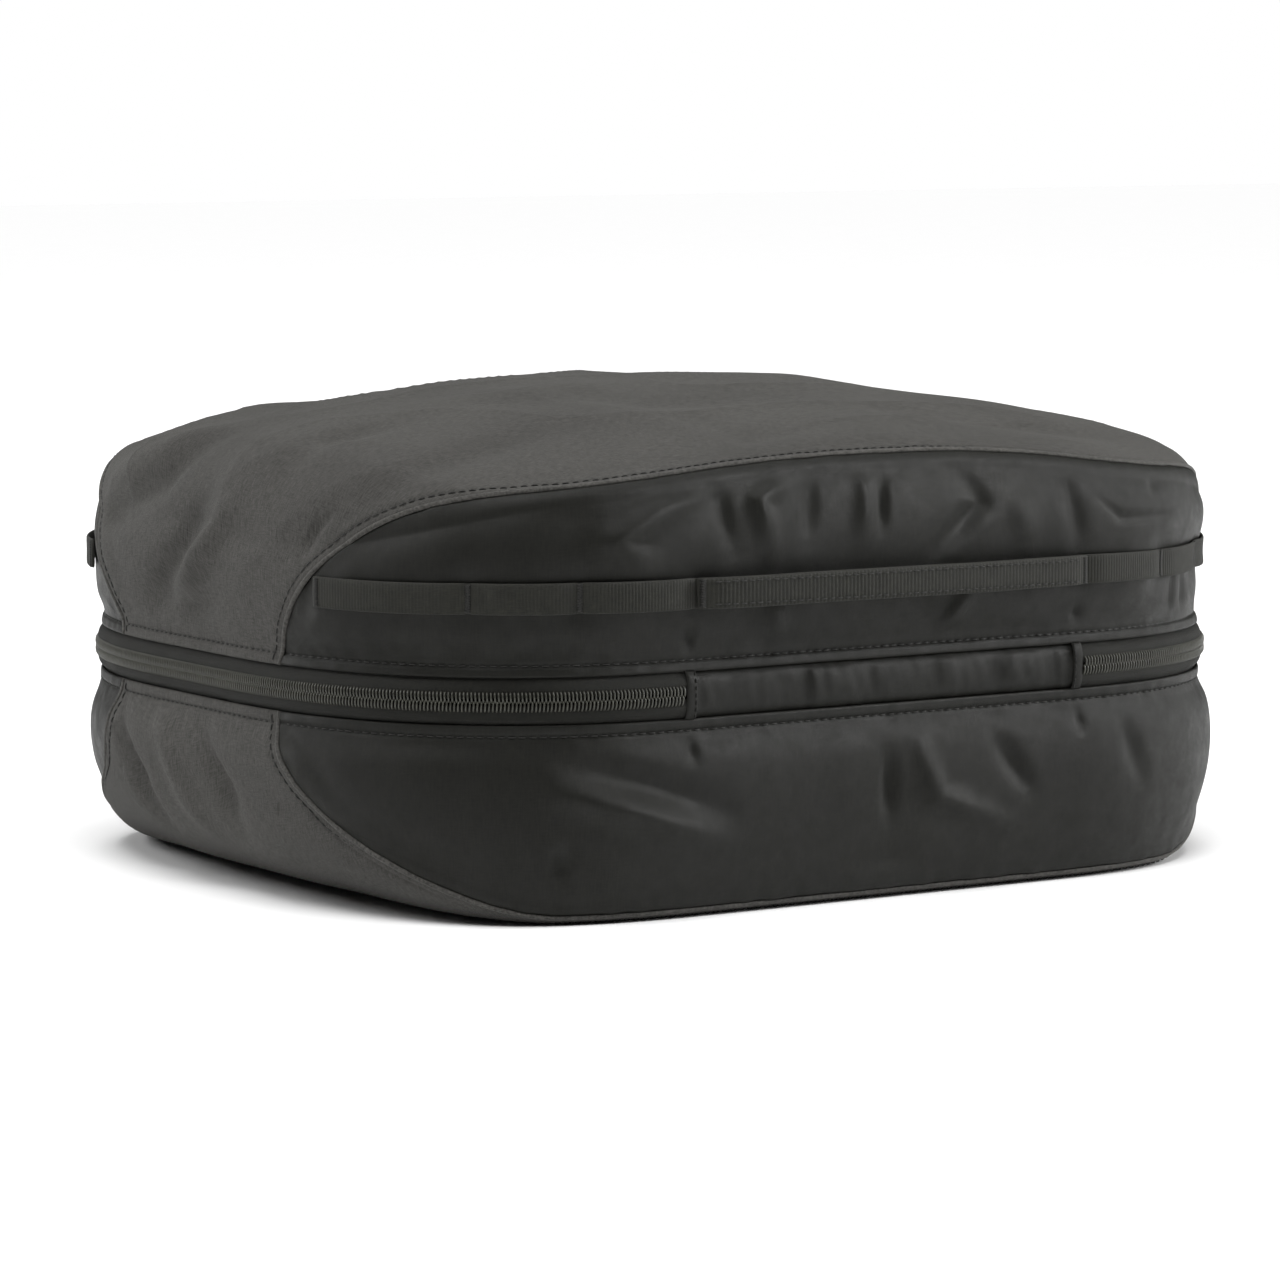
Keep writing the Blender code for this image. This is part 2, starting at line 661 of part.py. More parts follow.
def clipped(outline, limit, side):
    """The part of a closed outline behind the line y = limit (side +1) or in front of it (-1)."""
    kept = []
    for (x0, y0), (x1, y1) in zip(outline, outline[1:] + outline[:1]):
        inside, next_inside = side * (limit - y0) >= 0, side * (limit - y1) >= 0
        if inside:
            kept.append((x0, y0))
        if inside != next_inside:
            kept.append((x0 + (x1 - x0) * (limit - y0) / (y1 - y0), limit))
    return kept


def build_divider():
    """Two mesh panels across the lid's mouth, joined by a zip that runs from end to end."""
    z = ZIP_LEVEL + DIVIDER_RISE
    stations = [PERIMETER * k / 72 for k in range(72)]
    edge = [tuple(ring_position(s) - DIVIDER_INSET * ring_normal(s)) for s in stations]
    half_x = DIVIDER_ZIP_HALF
    made = []
    for name, side in (("divider_mesh_rear", 1), ("divider_mesh_front", -1)):
        outline = clipped(edge, DIVIDER_ZIP_Y - side * DIVIDER_SLOT / 2, side)
        made.append(flat_outline(name, outline, z, DIVIDER_THICKNESS, MESH_BLACK, 0.9))
    tape_z = z - DIVIDER_THICKNESS / 2 - CLEAR - TAPE_THICKNESS / 2
    for name, side in (("divider_tape_rear", -1), ("divider_tape_front", 1)):
        low = TAPE_PROFILE[0][1]
        centre_y = DIVIDER_ZIP_Y + side * (low + (DIVIDER_TAPE - low) / 2)
        size = (2 * (half_x + DIVIDER_TAPE_OVERRUN), DIVIDER_TAPE - low, TAPE_THICKNESS)
        made.append(box_object(name, (0.0, centre_y, tape_z), size, WEBBING_OLIVE, 0.85))
    coil_z = tape_z - TAPE_THICKNESS / 2 - CLEAR - COIL_RADIUS
    for name, side in (("divider_coil_rear", -1), ("divider_coil_front", 1)):
        y = DIVIDER_ZIP_Y + side * COIL_RISE
        points = [(-half_x, y, coil_z), (half_x, y, coil_z)]
        made.append(curve_object(name, points, COIL_RADIUS, 1, WEBBING_OLIVE, 0.5))
    return made, coil_z - COIL_RADIUS


def box_object(name, centre, size, colour, roughness, metallic=0.0):
    bm = bmesh.new()
    add_box(bm, centre, size)
    mesh = bpy.data.meshes.new(name)
    bm.to_mesh(mesh)
    bm.free()
    return add_object(name, mesh, colour, roughness, metallic)


def build_divider_slider(face_z):
    """Slider of the divider's zip: its wings face down and up, and its grip hangs from a link."""
    x = -DIVIDER_ZIP_HALF + WING_LENGTH
    y = DIVIDER_ZIP_Y
    outer_z = face_z - CLEAR - WING_THICKNESS / 2
    inner_z = face_z + 2 * COIL_RADIUS + 3 * CLEAR + TAPE_THICKNESS + WING_THICKNESS / 2
    bridge_z = outer_z - WING_THICKNESS / 2 - BAIL_STANDOFF - BAIL_THICKNESS / 2
    leg_span = abs(bridge_z - outer_z)
    leg_x = BAIL_HOLE / 2 + (BAIL_LENGTH - BAIL_HOLE) / 4
    leg_width = (BAIL_LENGTH - BAIL_HOLE) / 2
    boxes = [
        ((x, y, outer_z), (WING_LENGTH, WING_HEIGHT, WING_THICKNESS)),
        ((x, y, inner_z), (WING_LENGTH - INNER_WING_SHORT, DIVIDER_SLOT - INNER_WING_SHORT,
                           WING_THICKNESS)),
        ((x, y, (outer_z + inner_z) / 2), (POST_LENGTH, POST_THICKNESS, inner_z - outer_z)),
        ((x, y, bridge_z), (BAIL_LENGTH, BAIL_WIDTH, BAIL_THICKNESS)),
    ]
    for side in (-1, 1):
        centre = (x + side * leg_x, y, (bridge_z + outer_z) / 2)
        boxes.append((centre, (leg_width, BAIL_WIDTH - LEG_RELIEF, leg_span)))
    slider = union_boxes("divider_slider", boxes, METAL_BLACK, 0.4, 0.8)
    pivot = (x, y, outer_z - WING_THICKNESS / 2 - BAIL_STANDOFF / 2)
    return slider, pivot


def build_divider_pull(pivot):
    """Link and grip of the divider's slider, hanging straight down from its bail."""
    x, y, z = pivot
    end_z = z - LINK_LENGTH
    half = LINK_HALF_WIDTH
    corners = [(x, y - half, z), (x, y - half, end_z), (x, y + half, end_z), (x, y + half, z)]
    link = curve_object("divider_pull_link", corners, LINK_WIRE, 1, METAL_BLACK, 0.4, True)
    start = end_z - LINK_WIRE - CLEAR
    grip = box_object("divider_pull_grip", (x, y, start - GRIP_LENGTH / 2),
                      (GRIP_THICKNESS, GRIP_WIDTH, GRIP_LENGTH), MESH_BLACK, 0.6)
    return [link, grip]


# ------------------------------------------------------------------ assembly
def clear_scene():
    for item in list(bpy.data.objects):
        bpy.data.objects.remove(item, do_unlink=True)
    for name in (OBJECT_NAME, OBJECT_NAME + "_cutters"):
        collection = bpy.data.collections.new(name)
        bpy.context.scene.collection.children.link(collection)


def build_half(prefix, shell, wall_rows, crown_shares):
    """Cover strip, side panels, piping, bindings and zip row of one half."""
    columns = cover_columns(shell, 5, 12, 2)
    made = [build_cover(prefix + "_cover", shell, wall_rows, crown_shares, columns)]
    for side, front in (("back", False), ("front", True)):
        made.append(build_side_panel(f"{prefix}_{side}_panel", shell, front, 6))
        made.append(build_piping(f"{prefix}_{side}_piping", shell, front))
        made.append(build_binding(f"{prefix}_{side}_binding", shell, front))
    return made + build_zip_half(prefix, shell.sign)


def main():
    clear_scene()
    lid_axis = add_empty("lid_hinge_axis", (0.0, -HALF_DEPTH, ZIP_LEVEL))
    build_half("lower", BASE, 6, [])
    build_hinge()
    lid_pieces = build_half("upper", LID, 7, [0.7, 0.36])
    lid_pieces += build_webbing()
    divider, face_z = build_divider()
    lid_pieces += divider
    for piece in lid_pieces:
        set_parent(piece, lid_axis)
    for prefix, side in (("right", 1), ("left", -1)):
        slider, pivot = build_slider(prefix + "_slider", side * SLIDER_OFFSET, HALF_DEPTH,
                                     ZIP_LEVEL, 1)
        pull_axis = add_empty(prefix + "_pull_axis", pivot)
        set_parent(pull_axis, slider)
        for piece in build_pull(prefix, pivot, side):
            set_parent(piece, pull_axis)
    slider, pivot = build_divider_slider(face_z)
    set_parent(slider, lid_axis)
    pull_axis = add_empty("divider_pull_axis", pivot)
    set_parent(pull_axis, slider)
    for piece in build_divider_pull(pivot):
        set_parent(piece, pull_axis)


main()
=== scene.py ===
"""Looks of the packing cube: sewn fabric halves, coil zip, webbing, mesh divider and materials.

Metres throughout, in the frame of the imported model. Fabric walls are laid out in s, the
distance around the zip ring from the middle of the hinge side, and h, the distance from the
mouth edge up the wall, over the shoulder and on towards the crown.
"""
import math

import bpy
import numpy as np
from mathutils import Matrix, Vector


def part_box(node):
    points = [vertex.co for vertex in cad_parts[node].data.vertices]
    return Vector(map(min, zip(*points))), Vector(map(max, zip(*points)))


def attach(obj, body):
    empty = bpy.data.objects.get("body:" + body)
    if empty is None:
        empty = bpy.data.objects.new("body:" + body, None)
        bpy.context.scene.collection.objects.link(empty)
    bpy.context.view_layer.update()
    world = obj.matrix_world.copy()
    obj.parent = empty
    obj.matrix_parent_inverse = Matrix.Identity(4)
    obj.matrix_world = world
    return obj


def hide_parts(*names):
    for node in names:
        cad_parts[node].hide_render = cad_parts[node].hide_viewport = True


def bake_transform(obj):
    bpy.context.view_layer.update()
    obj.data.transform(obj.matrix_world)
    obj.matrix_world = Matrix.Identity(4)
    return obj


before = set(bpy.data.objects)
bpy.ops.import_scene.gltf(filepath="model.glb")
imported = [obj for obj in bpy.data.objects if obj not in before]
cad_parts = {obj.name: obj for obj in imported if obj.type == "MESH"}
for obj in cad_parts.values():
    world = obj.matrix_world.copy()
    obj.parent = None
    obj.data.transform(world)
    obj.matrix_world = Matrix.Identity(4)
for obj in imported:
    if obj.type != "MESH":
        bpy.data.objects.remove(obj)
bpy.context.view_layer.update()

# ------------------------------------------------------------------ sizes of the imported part
RING_LOW, RING_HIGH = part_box("hinge_panel")
ZIP_LEVEL = (RING_LOW.z + RING_HIGH.z) / 2
HALF_LENGTH = 0.182
HALF_DEPTH = 0.1455
STRAIGHT_LONG = 0.070
STRAIGHT_END = 0.020
CORNER_POWER = 2.45
MOUTH = 0.0075
WALL_SAMPLES = 40
SHOULDER_SAMPLES = 24
EDGE_INSET = 0.0020
PINCH_INSET = 0.0014
PINCH_RISE = 0.0125
PINCH_WIDTH = 0.0055
WALL_BULGE = 0.0035
DROP_END_POWER = 2.5
SEAM_FOOT_Y = 0.055
SEAM_TOP_X = 0.119
SEAM_GAP = 0.0006            # fabric edge to the seam line; the bead covers the rest
HINGE_HALF_SPAN = 0.077
WEBBING_WIDTH = 0.0100
WEBBING_THICKNESS = 0.0012
WEBBING_RISE = 0.0331
BARTACKS = [0.077, 0.117, 0.152]
STRAP_END_MARGIN = 0.003
LOOP_BOW = 0.0008
HANDLE_BOW = 0.0054
HANDLE_THICKNESS = 0.0016
BOW_POWER = 0.6
CLEAR = 0.0003
FABRIC = 0.0010
DIVIDER_RISE = 0.0150
DIVIDER_INSET = 0.0045
DIVIDER_ZIP_Y = 0.085
DIVIDER_ZIP_HALF = 0.150
DIVIDER_SLOT = 0.0060
DIVIDER_THICKNESS = 0.0008
DIVIDER_TAPE_OVERRUN = 0.0060
DIVIDER_LEVEL = ZIP_LEVEL + DIVIDER_RISE
TAPE_THICKNESS = 0.0006
HINGE_THICKNESS = 0.0008
END_TAB_WIDTH = 0.0040
END_TAB_THICKNESS = 0.0007
END_TAB_HALF = 0.0079        # half the tab's height across the zip

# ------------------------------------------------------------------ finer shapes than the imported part's
TAPE_KNOTS = [(0.0016, 0.0010), (0.0013, 0.0033), (0.0019, 0.0055), (0.0032, 0.0070),
              (0.0046, 0.0090), (0.0056, 0.0120)]       # inset, rise
HINGE_KNOTS = [(0.0059, -0.0125), (0.0047, -0.0090), (0.0033, -0.0070), (0.0020, -0.0048),
               (0.0015, 0.0), (0.0020, 0.0048), (0.0033, 0.0070), (0.0047, 0.0090), (0.0059, 0.0125)]
TOOTH_INSET = 0.0016         # base line of the coil's loops
BEAD_RADIUS = 0.00085
BEAD_STEP = 0.0012
BINDING_MIDDLE = 0.0050      # depth of the binding's middle below the wall's face
BINDING_HALF_DEPTH = 0.0034
BARTACK_HALF = 0.0010
CORNER_PRESS = 0.0002        # the strap lies this much closer to the wall round the corners
BARTACK_REACH = 0.0043       # half a bartack's height across the strap
NET_CELL = 0.0052
NET_ROW = 0.866              # distance of two rows of hexagons, in cells
NET_YARN = 0.0013
NET_THICKNESS = 0.0005
NET_BORDER = 0.0095
FOLD_GAIN = 1.5              # strength of the listed folds
COVER_FOLD_GAIN = 1.5        # the covers' folds are this much deeper again

# ------------------------------------------------------------------ colours
COVER_DARK = (0.038, 0.037, 0.034)
COVER_LIGHT = (0.088, 0.085, 0.079)
PANEL_DARK = (0.0030, 0.0030, 0.0018)
PANEL_LIGHT = (0.0080, 0.0080, 0.0055)
BEAD_DARK = (0.034, 0.033, 0.030)
BEAD_LIGHT = (0.085, 0.082, 0.076)
WEB_DARK = (0.008, 0.008, 0.006)
WEB_LIGHT = (0.026, 0.026, 0.020)
TAPE_DARK = (0.006, 0.006, 0.0045)
TAPE_LIGHT = (0.018, 0.018, 0.014)
COIL_DARK = (0.030, 0.030, 0.023)
COIL_LIGHT = (0.060, 0.060, 0.047)
THREAD_DARK = (0.006, 0.006, 0.006)
THREAD_LIGHT = (0.040, 0.040, 0.036)
METAL_DARK = (0.020, 0.020, 0.021)
METAL_LIGHT = (0.045, 0.045, 0.047)
GRIP_DARK = (0.010, 0.010, 0.010)
GRIP_LIGHT = (0.020, 0.020, 0.020)
NET_DARK = (0.008, 0.008, 0.008)
NET_LIGHT = (0.020, 0.020, 0.020)

# ------------------------------------------------------------------ studio and camera
FLOOR_SIZE = 14.0
FLOOR_LEVEL = -0.0005
FLOOR_TONE = 0.93
WORLD_STRENGTH = 0.05
LIGHTS = [                   # name, place, size, watts
    ("left softbox", (-1.5, 1.5, 1.3), (0.8, 1.0), 26.0),
    ("right softbox", (2.2, -0.9, 0.9), (0.6, 1.3), 52.0),
    ("back softbox", (0.6, 2.2, 1.3), (1.8, 1.0), 6.0),
]
OVERHEAD_STRENGTH = 3.4
OVERHEAD_SPREAD = 50.0
OVERHEAD_FROM = (-0.15, -0.20, 1.0)
CAMERA_AZIMUTH = -32.76
CAMERA_ELEVATION = 6.235
CAMERA_DISTANCE = 1.8987
CAMERA_LENS = 153.27
CAMERA_SENSOR = 36.0
CAMERA_SHIFT = -0.00797

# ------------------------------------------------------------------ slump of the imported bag
RIGHT_SAG = 0.0036
RIGHT_TUCK = 0.0046
LEFT_TUCK = 0.0014
RIGHT_LIFT = 0.0028
LEFT_LIFT = 0.0042
TUCK_WAY = (0.84, 0.54)      # the corners tuck in along this direction, mostly lengthwise
TUCK_HALF_HEIGHT = 0.016

# ------------------------------------------------------------------ simulated buckles of the side panels
COARSE_COLUMNS = 132
COARSE_ROWS = 34
CLOTH_GROWTH = 0.028         # spare cloth, as a share of the panel
CLOTH_PRESSURE = 1.5
CLOTH_STIFFNESS = 15.0
CLOTH_FRAMES = 20
PINNED_BORDER = 0.005
MOST_BUCKLE = 0.0042         # buckles level off towards this height
PLACED_SHARE = 0.7           # share of the listed folds that is added over the buckles

# ------------------------------------------------------------------ sewing
HEM_WIDTH = 0.0038           # topstitch line from a mouth edge
FELL_WIDTH = 0.0036          # topstitch line from a seam, on the cover's side
STITCH_PITCH = 0.0033
STITCH_LENGTH = 0.0023
THREAD = 0.00024
TOOTH_PITCH = 0.00125
THREAD_LIFT = 0.0001         # stitches lie this far off the cloth
GROOVE_DEPTH = 0.00035
GROOVE_WIDTH = 0.0007
STRAP_PRESS = 0.0004         # how far the webbing presses the wall in along its run
TACK_PRESS = 0.0012          # and how much further at a bartack
PRESS_HALF_HEIGHT = 0.0085
PRESS_HALF_LENGTH = 0.006
HEM_END = 0.002              # a cover's hem stitches stop this far from its seams
PANEL_HEM_END = 0.004


# ------------------------------------------------------------------ smooth noise
HASH_CELL = np.array([374761393, 668265263, 2147483647])
HASH_SEED = 974711
HASH_MIX = 1274126177


def lattice_values(cell, seed):
    """Repeatable numbers from -1 to 1 at whole-number cells, an (n, 3) array."""
    mixed = (cell * HASH_CELL).sum(1) + seed * HASH_SEED
    mixed = (mixed ^ (mixed >> 13)) * HASH_MIX
    mixed = mixed ^ (mixed >> 16)
    return (mixed % 65536) / 32767.5 - 1.0


def noise(u, v, w=0.0, seed=0):
    """Smooth noise from -1 to 1 with features about one unit across."""
    u = np.asarray(u, float)
    shape = u.shape
    spot = np.stack([u.ravel(), np.broadcast_to(v, shape).ravel(), np.broadcast_to(w, shape).ravel()], 1)
    cell = np.floor(spot).astype(np.int64)
    part = spot - cell
    part = part * part * (3.0 - 2.0 * part)
    total = np.zeros(len(spot))
    for corner in range(8):
        offset = np.array([corner & 1, corner >> 1 & 1, corner >> 2 & 1])
        weight = np.prod(np.where(offset, part, 1.0 - part), axis=1)
        total += weight * lattice_values(cell + offset, seed)
    return total.reshape(shape)


def ridges(u, v, seed):
    """Noise with rounded crests and sharper valleys, as fabric buckles."""
    return 1.0 - 2.0 * np.sqrt(np.abs(noise(u, v, 0.0, seed)) + 0.01)


def ramp(x, low, high):
    """0 below low, 1 above high, smooth in between."""
    t = np.clip((x - low) / (high - low), 0.0, 1.0)
    return t * t * (3.0 - 2.0 * t)


# ------------------------------------------------------------------ zip ring
def ring_table(samples=1600):
    """Points round the ring from the middle of the hinge side, and their distance along it."""
    angle = np.linspace(-math.pi / 2, 1.5 * math.pi, samples * 4 + 1)
    power = 2.0 / CORNER_POWER
    cos = np.round(np.cos(angle), 12)
    sin = np.round(np.sin(angle), 12)
    x = np.sign(cos) * (STRAIGHT_LONG + (HALF_LENGTH - STRAIGHT_LONG) * np.abs(cos) ** power)
    y = np.sign(sin) * (STRAIGHT_END + (HALF_DEPTH - STRAIGHT_END) * np.abs(sin) ** power)
    points = np.stack([x, y], 1)
    step = np.linalg.norm(np.diff(points, axis=0), axis=1)
    distance = np.concatenate([[0.0], np.cumsum(step)])
    keep = np.concatenate([[True], step > 1e-9])
    return points[keep], distance[keep]


RING_POINTS, RING_DISTANCE = ring_table()
PERIMETER = float(RING_DISTANCE[-1])
QUARTER = PERIMETER / 4.0


def ring_position(s):
    """Plan position of the ring at s."""
    s = np.asarray(s, float) % PERIMETER
    x = np.interp(s, RING_DISTANCE, RING_POINTS[:, 0])
    y = np.interp(s, RING_DISTANCE, RING_POINTS[:, 1])
    return np.stack([x, y], -1)


def ring_normal(s, reach=0.0015):
    """Outward unit normal of the ring in plan."""
    s = np.asarray(s, float)
    tangent = ring_position(s + reach) - ring_position(s - reach)
    tangent = tangent / np.linalg.norm(tangent, axis=-1, keepdims=True)
    return np.stack([tangent[..., 1], -tangent[..., 0]], -1)


def outward_at(s):
    """The ring's outward normals as vectors in space."""
    return np.concatenate([ring_normal(s), np.zeros((len(s), 1))], 1)


def ring_distance_of(axis, value):
    """Distance round the first quarter of the ring to where a coordinate has a value."""
    quarter = RING_DISTANCE <= QUARTER
    coordinate = np.abs(RING_POINTS[quarter, axis])
    order = np.argsort(coordinate)
    return float(np.interp(value, coordinate[order], RING_DISTANCE[quarter][order]))


SEAM_FOOT_S = ring_distance_of(1, SEAM_FOOT_Y)
SEAM_TOP_S = ring_distance_of(0, SEAM_TOP_X)


def fold_distance(s):
    """Distance of s from the middle of the nearer long side."""
    s = np.abs((s + PERIMETER / 2) % PERIMETER - PERIMETER / 2)
    return np.minimum(s, PERIMETER / 2 - s)


def middle_of(front):
    """s of the middle of the hinge side, or of the front."""
    return PERIMETER / 2 if front else 0.0


def side_of(front):
    return "front" if front else "back"


# ------------------------------------------------------------------ wall surfaces
class HalfShell:
    """The smooth outer surface of one half: sign is +1 for the lid and -1 for the base."""

    def __init__(self, sign, rise, drops, shoulders, bulge_power, seam):
        self.sign = sign
        self.rise = rise
        self.drop_side, self.drop_end, self.drop_corner = drops
        self.shoulder_end, self.shoulder_side = shoulders
        self.seam_share, self.seam_lean = seam
        self.bulge_power = bulge_power

    def dome(self, x, y):
        """Rise of the crown over the zip at a plan position."""
        across = (y / HALF_DEPTH) ** 2
        along = (x / HALF_LENGTH) ** 2
        end = self.drop_end * along ** (DROP_END_POWER / 2)
        return self.rise - self.drop_side * across - end - self.drop_corner * across * along

    def profile(self, s):
        """Insets, rises and running lengths up the wall and over the shoulder, one row per s."""
        s = np.atleast_1d(np.asarray(s, float))
        blend = ramp(fold_distance(s), SEAM_TOP_S, SEAM_FOOT_S)
        radius = self.shoulder_side + (self.shoulder_end - self.shoulder_side) * blend
        base = ring_position(s)
        normal = ring_normal(s)
        start = base - EDGE_INSET * normal
        start_rise = self.dome(start[:, 0], start[:, 1]) - radius
        share = np.linspace(0.0, 1.0, WALL_SAMPLES)[None, :]
        wall_rise = MOUTH + (start_rise[:, None] - MOUTH) * share
        pinch = PINCH_INSET * np.exp(-((wall_rise - PINCH_RISE) / PINCH_WIDTH) ** 2)
        wall_inset = EDGE_INSET + pinch - WALL_BULGE * np.sin(math.pi * share ** self.bulge_power)
        turn = np.linspace(0.0, math.pi / 2, SHOULDER_SAMPLES)[None, 1:]
        top_inset = EDGE_INSET + radius[:, None] * (1 - np.cos(turn))
        dome = self.dome(base[:, :1] - top_inset * normal[:, :1], base[:, 1:] - top_inset * normal[:, 1:])
        top_rise = dome - radius[:, None] * (1 - np.sin(turn))
        inset = np.concatenate([wall_inset, top_inset], 1)
        rise = np.concatenate([wall_rise, top_rise], 1)
        step = np.hypot(np.diff(inset, axis=1), np.diff(rise, axis=1))
        length = np.concatenate([np.zeros((len(s), 1)), np.cumsum(step, axis=1)], 1)
        return inset, rise, length

    def long_edge(self, s):
        """Value of h of the seam along the top edge of a wall."""
        length = self.profile(s)[2]
        wall = length[:, WALL_SAMPLES - 1]
        return wall + self.seam_share * (length[:, -1] - wall)

    def reach(self, s):
        """Value of h where the crown's middle is."""
        inset, _, length = self.profile(s)
        plan = ring_position(s) - inset[:, -1:] * ring_normal(s)
        return length[:, -1] + np.linalg.norm(plan, axis=1)

    def surface(self, s, h):
        """Points at (s, h), for arrays of one length."""
        s = np.atleast_1d(np.asarray(s, float))
        h = np.clip(np.atleast_1d(np.asarray(h, float)), 0.0, None)
        inset, rise, length = self.profile(s)
        rows = np.arange(len(s))
        here = np.clip((length <= h[:, None]).sum(1) - 1, 0, length.shape[1] - 2)
        low, high = length[rows, here], length[rows, here + 1]
        part = np.clip((h - low) / (high - low), 0.0, 1.0)
        inset_here = inset[rows, here] + part * (inset[rows, here + 1] - inset[rows, here])
        rise_here = rise[rows, here] + part * (rise[rows, here + 1] - rise[rows, here])
        plan = ring_position(s) - inset_here[:, None] * ring_normal(s)
        beyond = np.clip(h - length[:, -1], 0.0, None)
        size = np.linalg.norm(plan, axis=1)
        crown = beyond > 0
        plan = plan * np.where(crown, np.clip(1.0 - beyond / size, 0.0, 1.0), 1.0)[:, None]
        rise_here = np.where(crown, self.dome(plan[:, 0], plan[:, 1]), rise_here)
        return np.column_stack([plan, ZIP_LEVEL + self.sign * rise_here])

    def normal(self, s, h, step=0.0006):
        """Outward unit normals at (s, h)."""
        along = self.surface(s + step, h) - self.surface(s - step, h)
        up = self.surface(s, h + step) - self.surface(s, h - step)
        cross = np.cross(along, up) * self.sign
        size = np.linalg.norm(cross, axis=1, keepdims=True)
        flat = np.array([0.0, 0.0, float(self.sign)])
        return np.where(size > 1e-12, cross / np.maximum(size, 1e-12), flat)


LID = HalfShell(1, 0.0920, (0.0185, 0.0200, 0.0060), (0.022, 0.0045), 1.8, (0.85, 1.5))
BASE = HalfShell(-1, ZIP_LEVEL, (0.0, 0.0, 0.0), (0.034, 0.006), 1.0, (0.45, 1.1))


def half_of(shell):
    return "upper" if shell is LID else "lower"


def body_of(shell):
    return "lid" if shell is LID else "base"


# ------------------------------------------------------------------ seam line
def seam_place(shell, angle):
    """(s, h) along the rounded part of a seam: angle 0 is its foot, pi/2 the long edge."""
    s = SEAM_TOP_S + (SEAM_FOOT_S - SEAM_TOP_S) * np.cos(angle)
    return np.stack([s, shell.long_edge(s) * np.maximum(np.sin(angle), 0.0) ** shell.seam_lean], -1)


def seam_path(shell, offset, steps=160):
    """(s, h) from the middle of the long side to the foot, moved towards the cover by offset."""
    straight = np.linspace(0.0, SEAM_TOP_S, steps // 2, endpoint=False)
    top = np.stack([straight, shell.long_edge(straight) + offset], -1)
    angle = np.linspace(math.pi / 2, 0.0, steps // 2)
    turn = 0.01
    tangent = seam_place(shell, angle + turn) - seam_place(shell, angle - turn)
    normal = np.stack([tangent[:, 1], -tangent[:, 0]], -1)
    normal = normal / np.linalg.norm(normal, axis=1, keepdims=True)
    return np.concatenate([top, seam_place(shell, angle) + offset * normal])


def mirrored(path):
    """A quarter path and its mirror image across the middle of the long side."""
    other = path[::-1].copy()
    other[:, 0] *= -1
    return np.concatenate([other, path[1:]])


def seam_height(shell, s, offset=0.0):
    """Value of h of the seam above s, for |s| up to the seam's foot."""
    path = seam_path(shell, offset)
    order = np.argsort(path[:, 0])
    return np.interp(np.abs(s), path[order, 0], path[order, 1], right=0.0)


def seam_distance(shell, s, h):
    """Shortest distance from (s, h) to the nearest seam; s is measured from a long side."""
    path = seam_path(shell, 0.0)
    s, h = np.abs(s).ravel(), h.ravel()
    best = np.full(s.shape, 9.0)
    for a, b in zip(path[:-1], path[1:]):
        edge = b - a
        t = np.clip(((s - a[0]) * edge[0] + (h - a[1]) * edge[1]) / (edge @ edge), 0.0, 1.0)
        best = np.minimum(best, np.hypot(s - a[0] - t * edge[0], h - a[1] - t * edge[1]))
    return best


# ------------------------------------------------------------------ mesh helpers
def grid_quads(columns, rows, closed=False, flip=False):
    """Quads of a grid stored column by column."""
    i = np.arange(columns if closed else columns - 1)[:, None]
    k = np.arange(rows - 1)[None, :]
    j = (i + 1) % columns
    quads = np.stack([i * rows + k, j * rows + k, j * rows + k + 1, i * rows + k + 1], -1).reshape(-1, 4)
    return quads[:, ::-1] if flip else quads


def add_mesh(name, points, faces, uv=None):
    """Link a smooth mesh; uv is one pair a vertex, in metres of fabric."""
    faces = faces.tolist() if isinstance(faces, np.ndarray) else faces
    mesh = bpy.data.meshes.new(name)
    mesh.from_pydata(np.asarray(points, float).tolist(), [], faces)
    if uv is not None:
        layer = mesh.uv_layers.new(name="fabric")
        corner = np.zeros(len(mesh.loops), np.int32)
        mesh.loops.foreach_get("vertex_index", corner)
        layer.data.foreach_set("uv", np.asarray(uv, np.float32)[corner].ravel())
    mesh.shade_smooth()
    return link_new(name, mesh)


def link_new(name, data):
    """A new object in the scene."""
    made = bpy.data.objects.new(name, data)
    bpy.context.scene.collection.objects.link(made)
    return made


def band_uv(along, across):
    """Fabric coordinates of a grid with one row of points at each place along it."""
    return np.stack(np.broadcast_arrays(along[:, None], across[None, :]), -1).reshape(-1, 2)


def thicken(made, thickness, offset=-1.0):
    """Give a sheet its thickness, inwards unless offset says otherwise."""
    modifier = made.modifiers.new("thickness", "SOLIDIFY")
    modifier.thickness = thickness
    modifier.offset = offset
    modifier.use_even_offset = False
    return made


def finish_piece(made, body, slot, material, *replaced):
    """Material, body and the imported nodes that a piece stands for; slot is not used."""
    made.data.materials.clear()
    made.data.materials.append(material)
    if body:
        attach(made, body)
    if replaced:
        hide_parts(*replaced)
    return made


def run_length(points):
    """Distance along a polyline to each of its points."""
    step = np.linalg.norm(np.diff(points, axis=0), axis=1)
    return np.concatenate([[0.0], np.cumsum(step)])


def take(table, distance, at):
    """Rows of a table of points or normals, interpolated at some distances."""
    return np.stack([np.interp(at, distance, column) for column in table.T], -1)


def resample(points, distance, at, reach=0.0004):
    """Points and unit tangents at some distances along a polyline."""
    tangent = take(points, distance, at + reach) - take(points, distance, at - reach)
    size = np.linalg.norm(tangent, axis=1, keepdims=True)
    return take(points, distance, at), tangent / np.maximum(size, 1e-9)


def unit(vectors):
    return vectors / np.maximum(np.linalg.norm(vectors, axis=-1, keepdims=True), 1e-12)


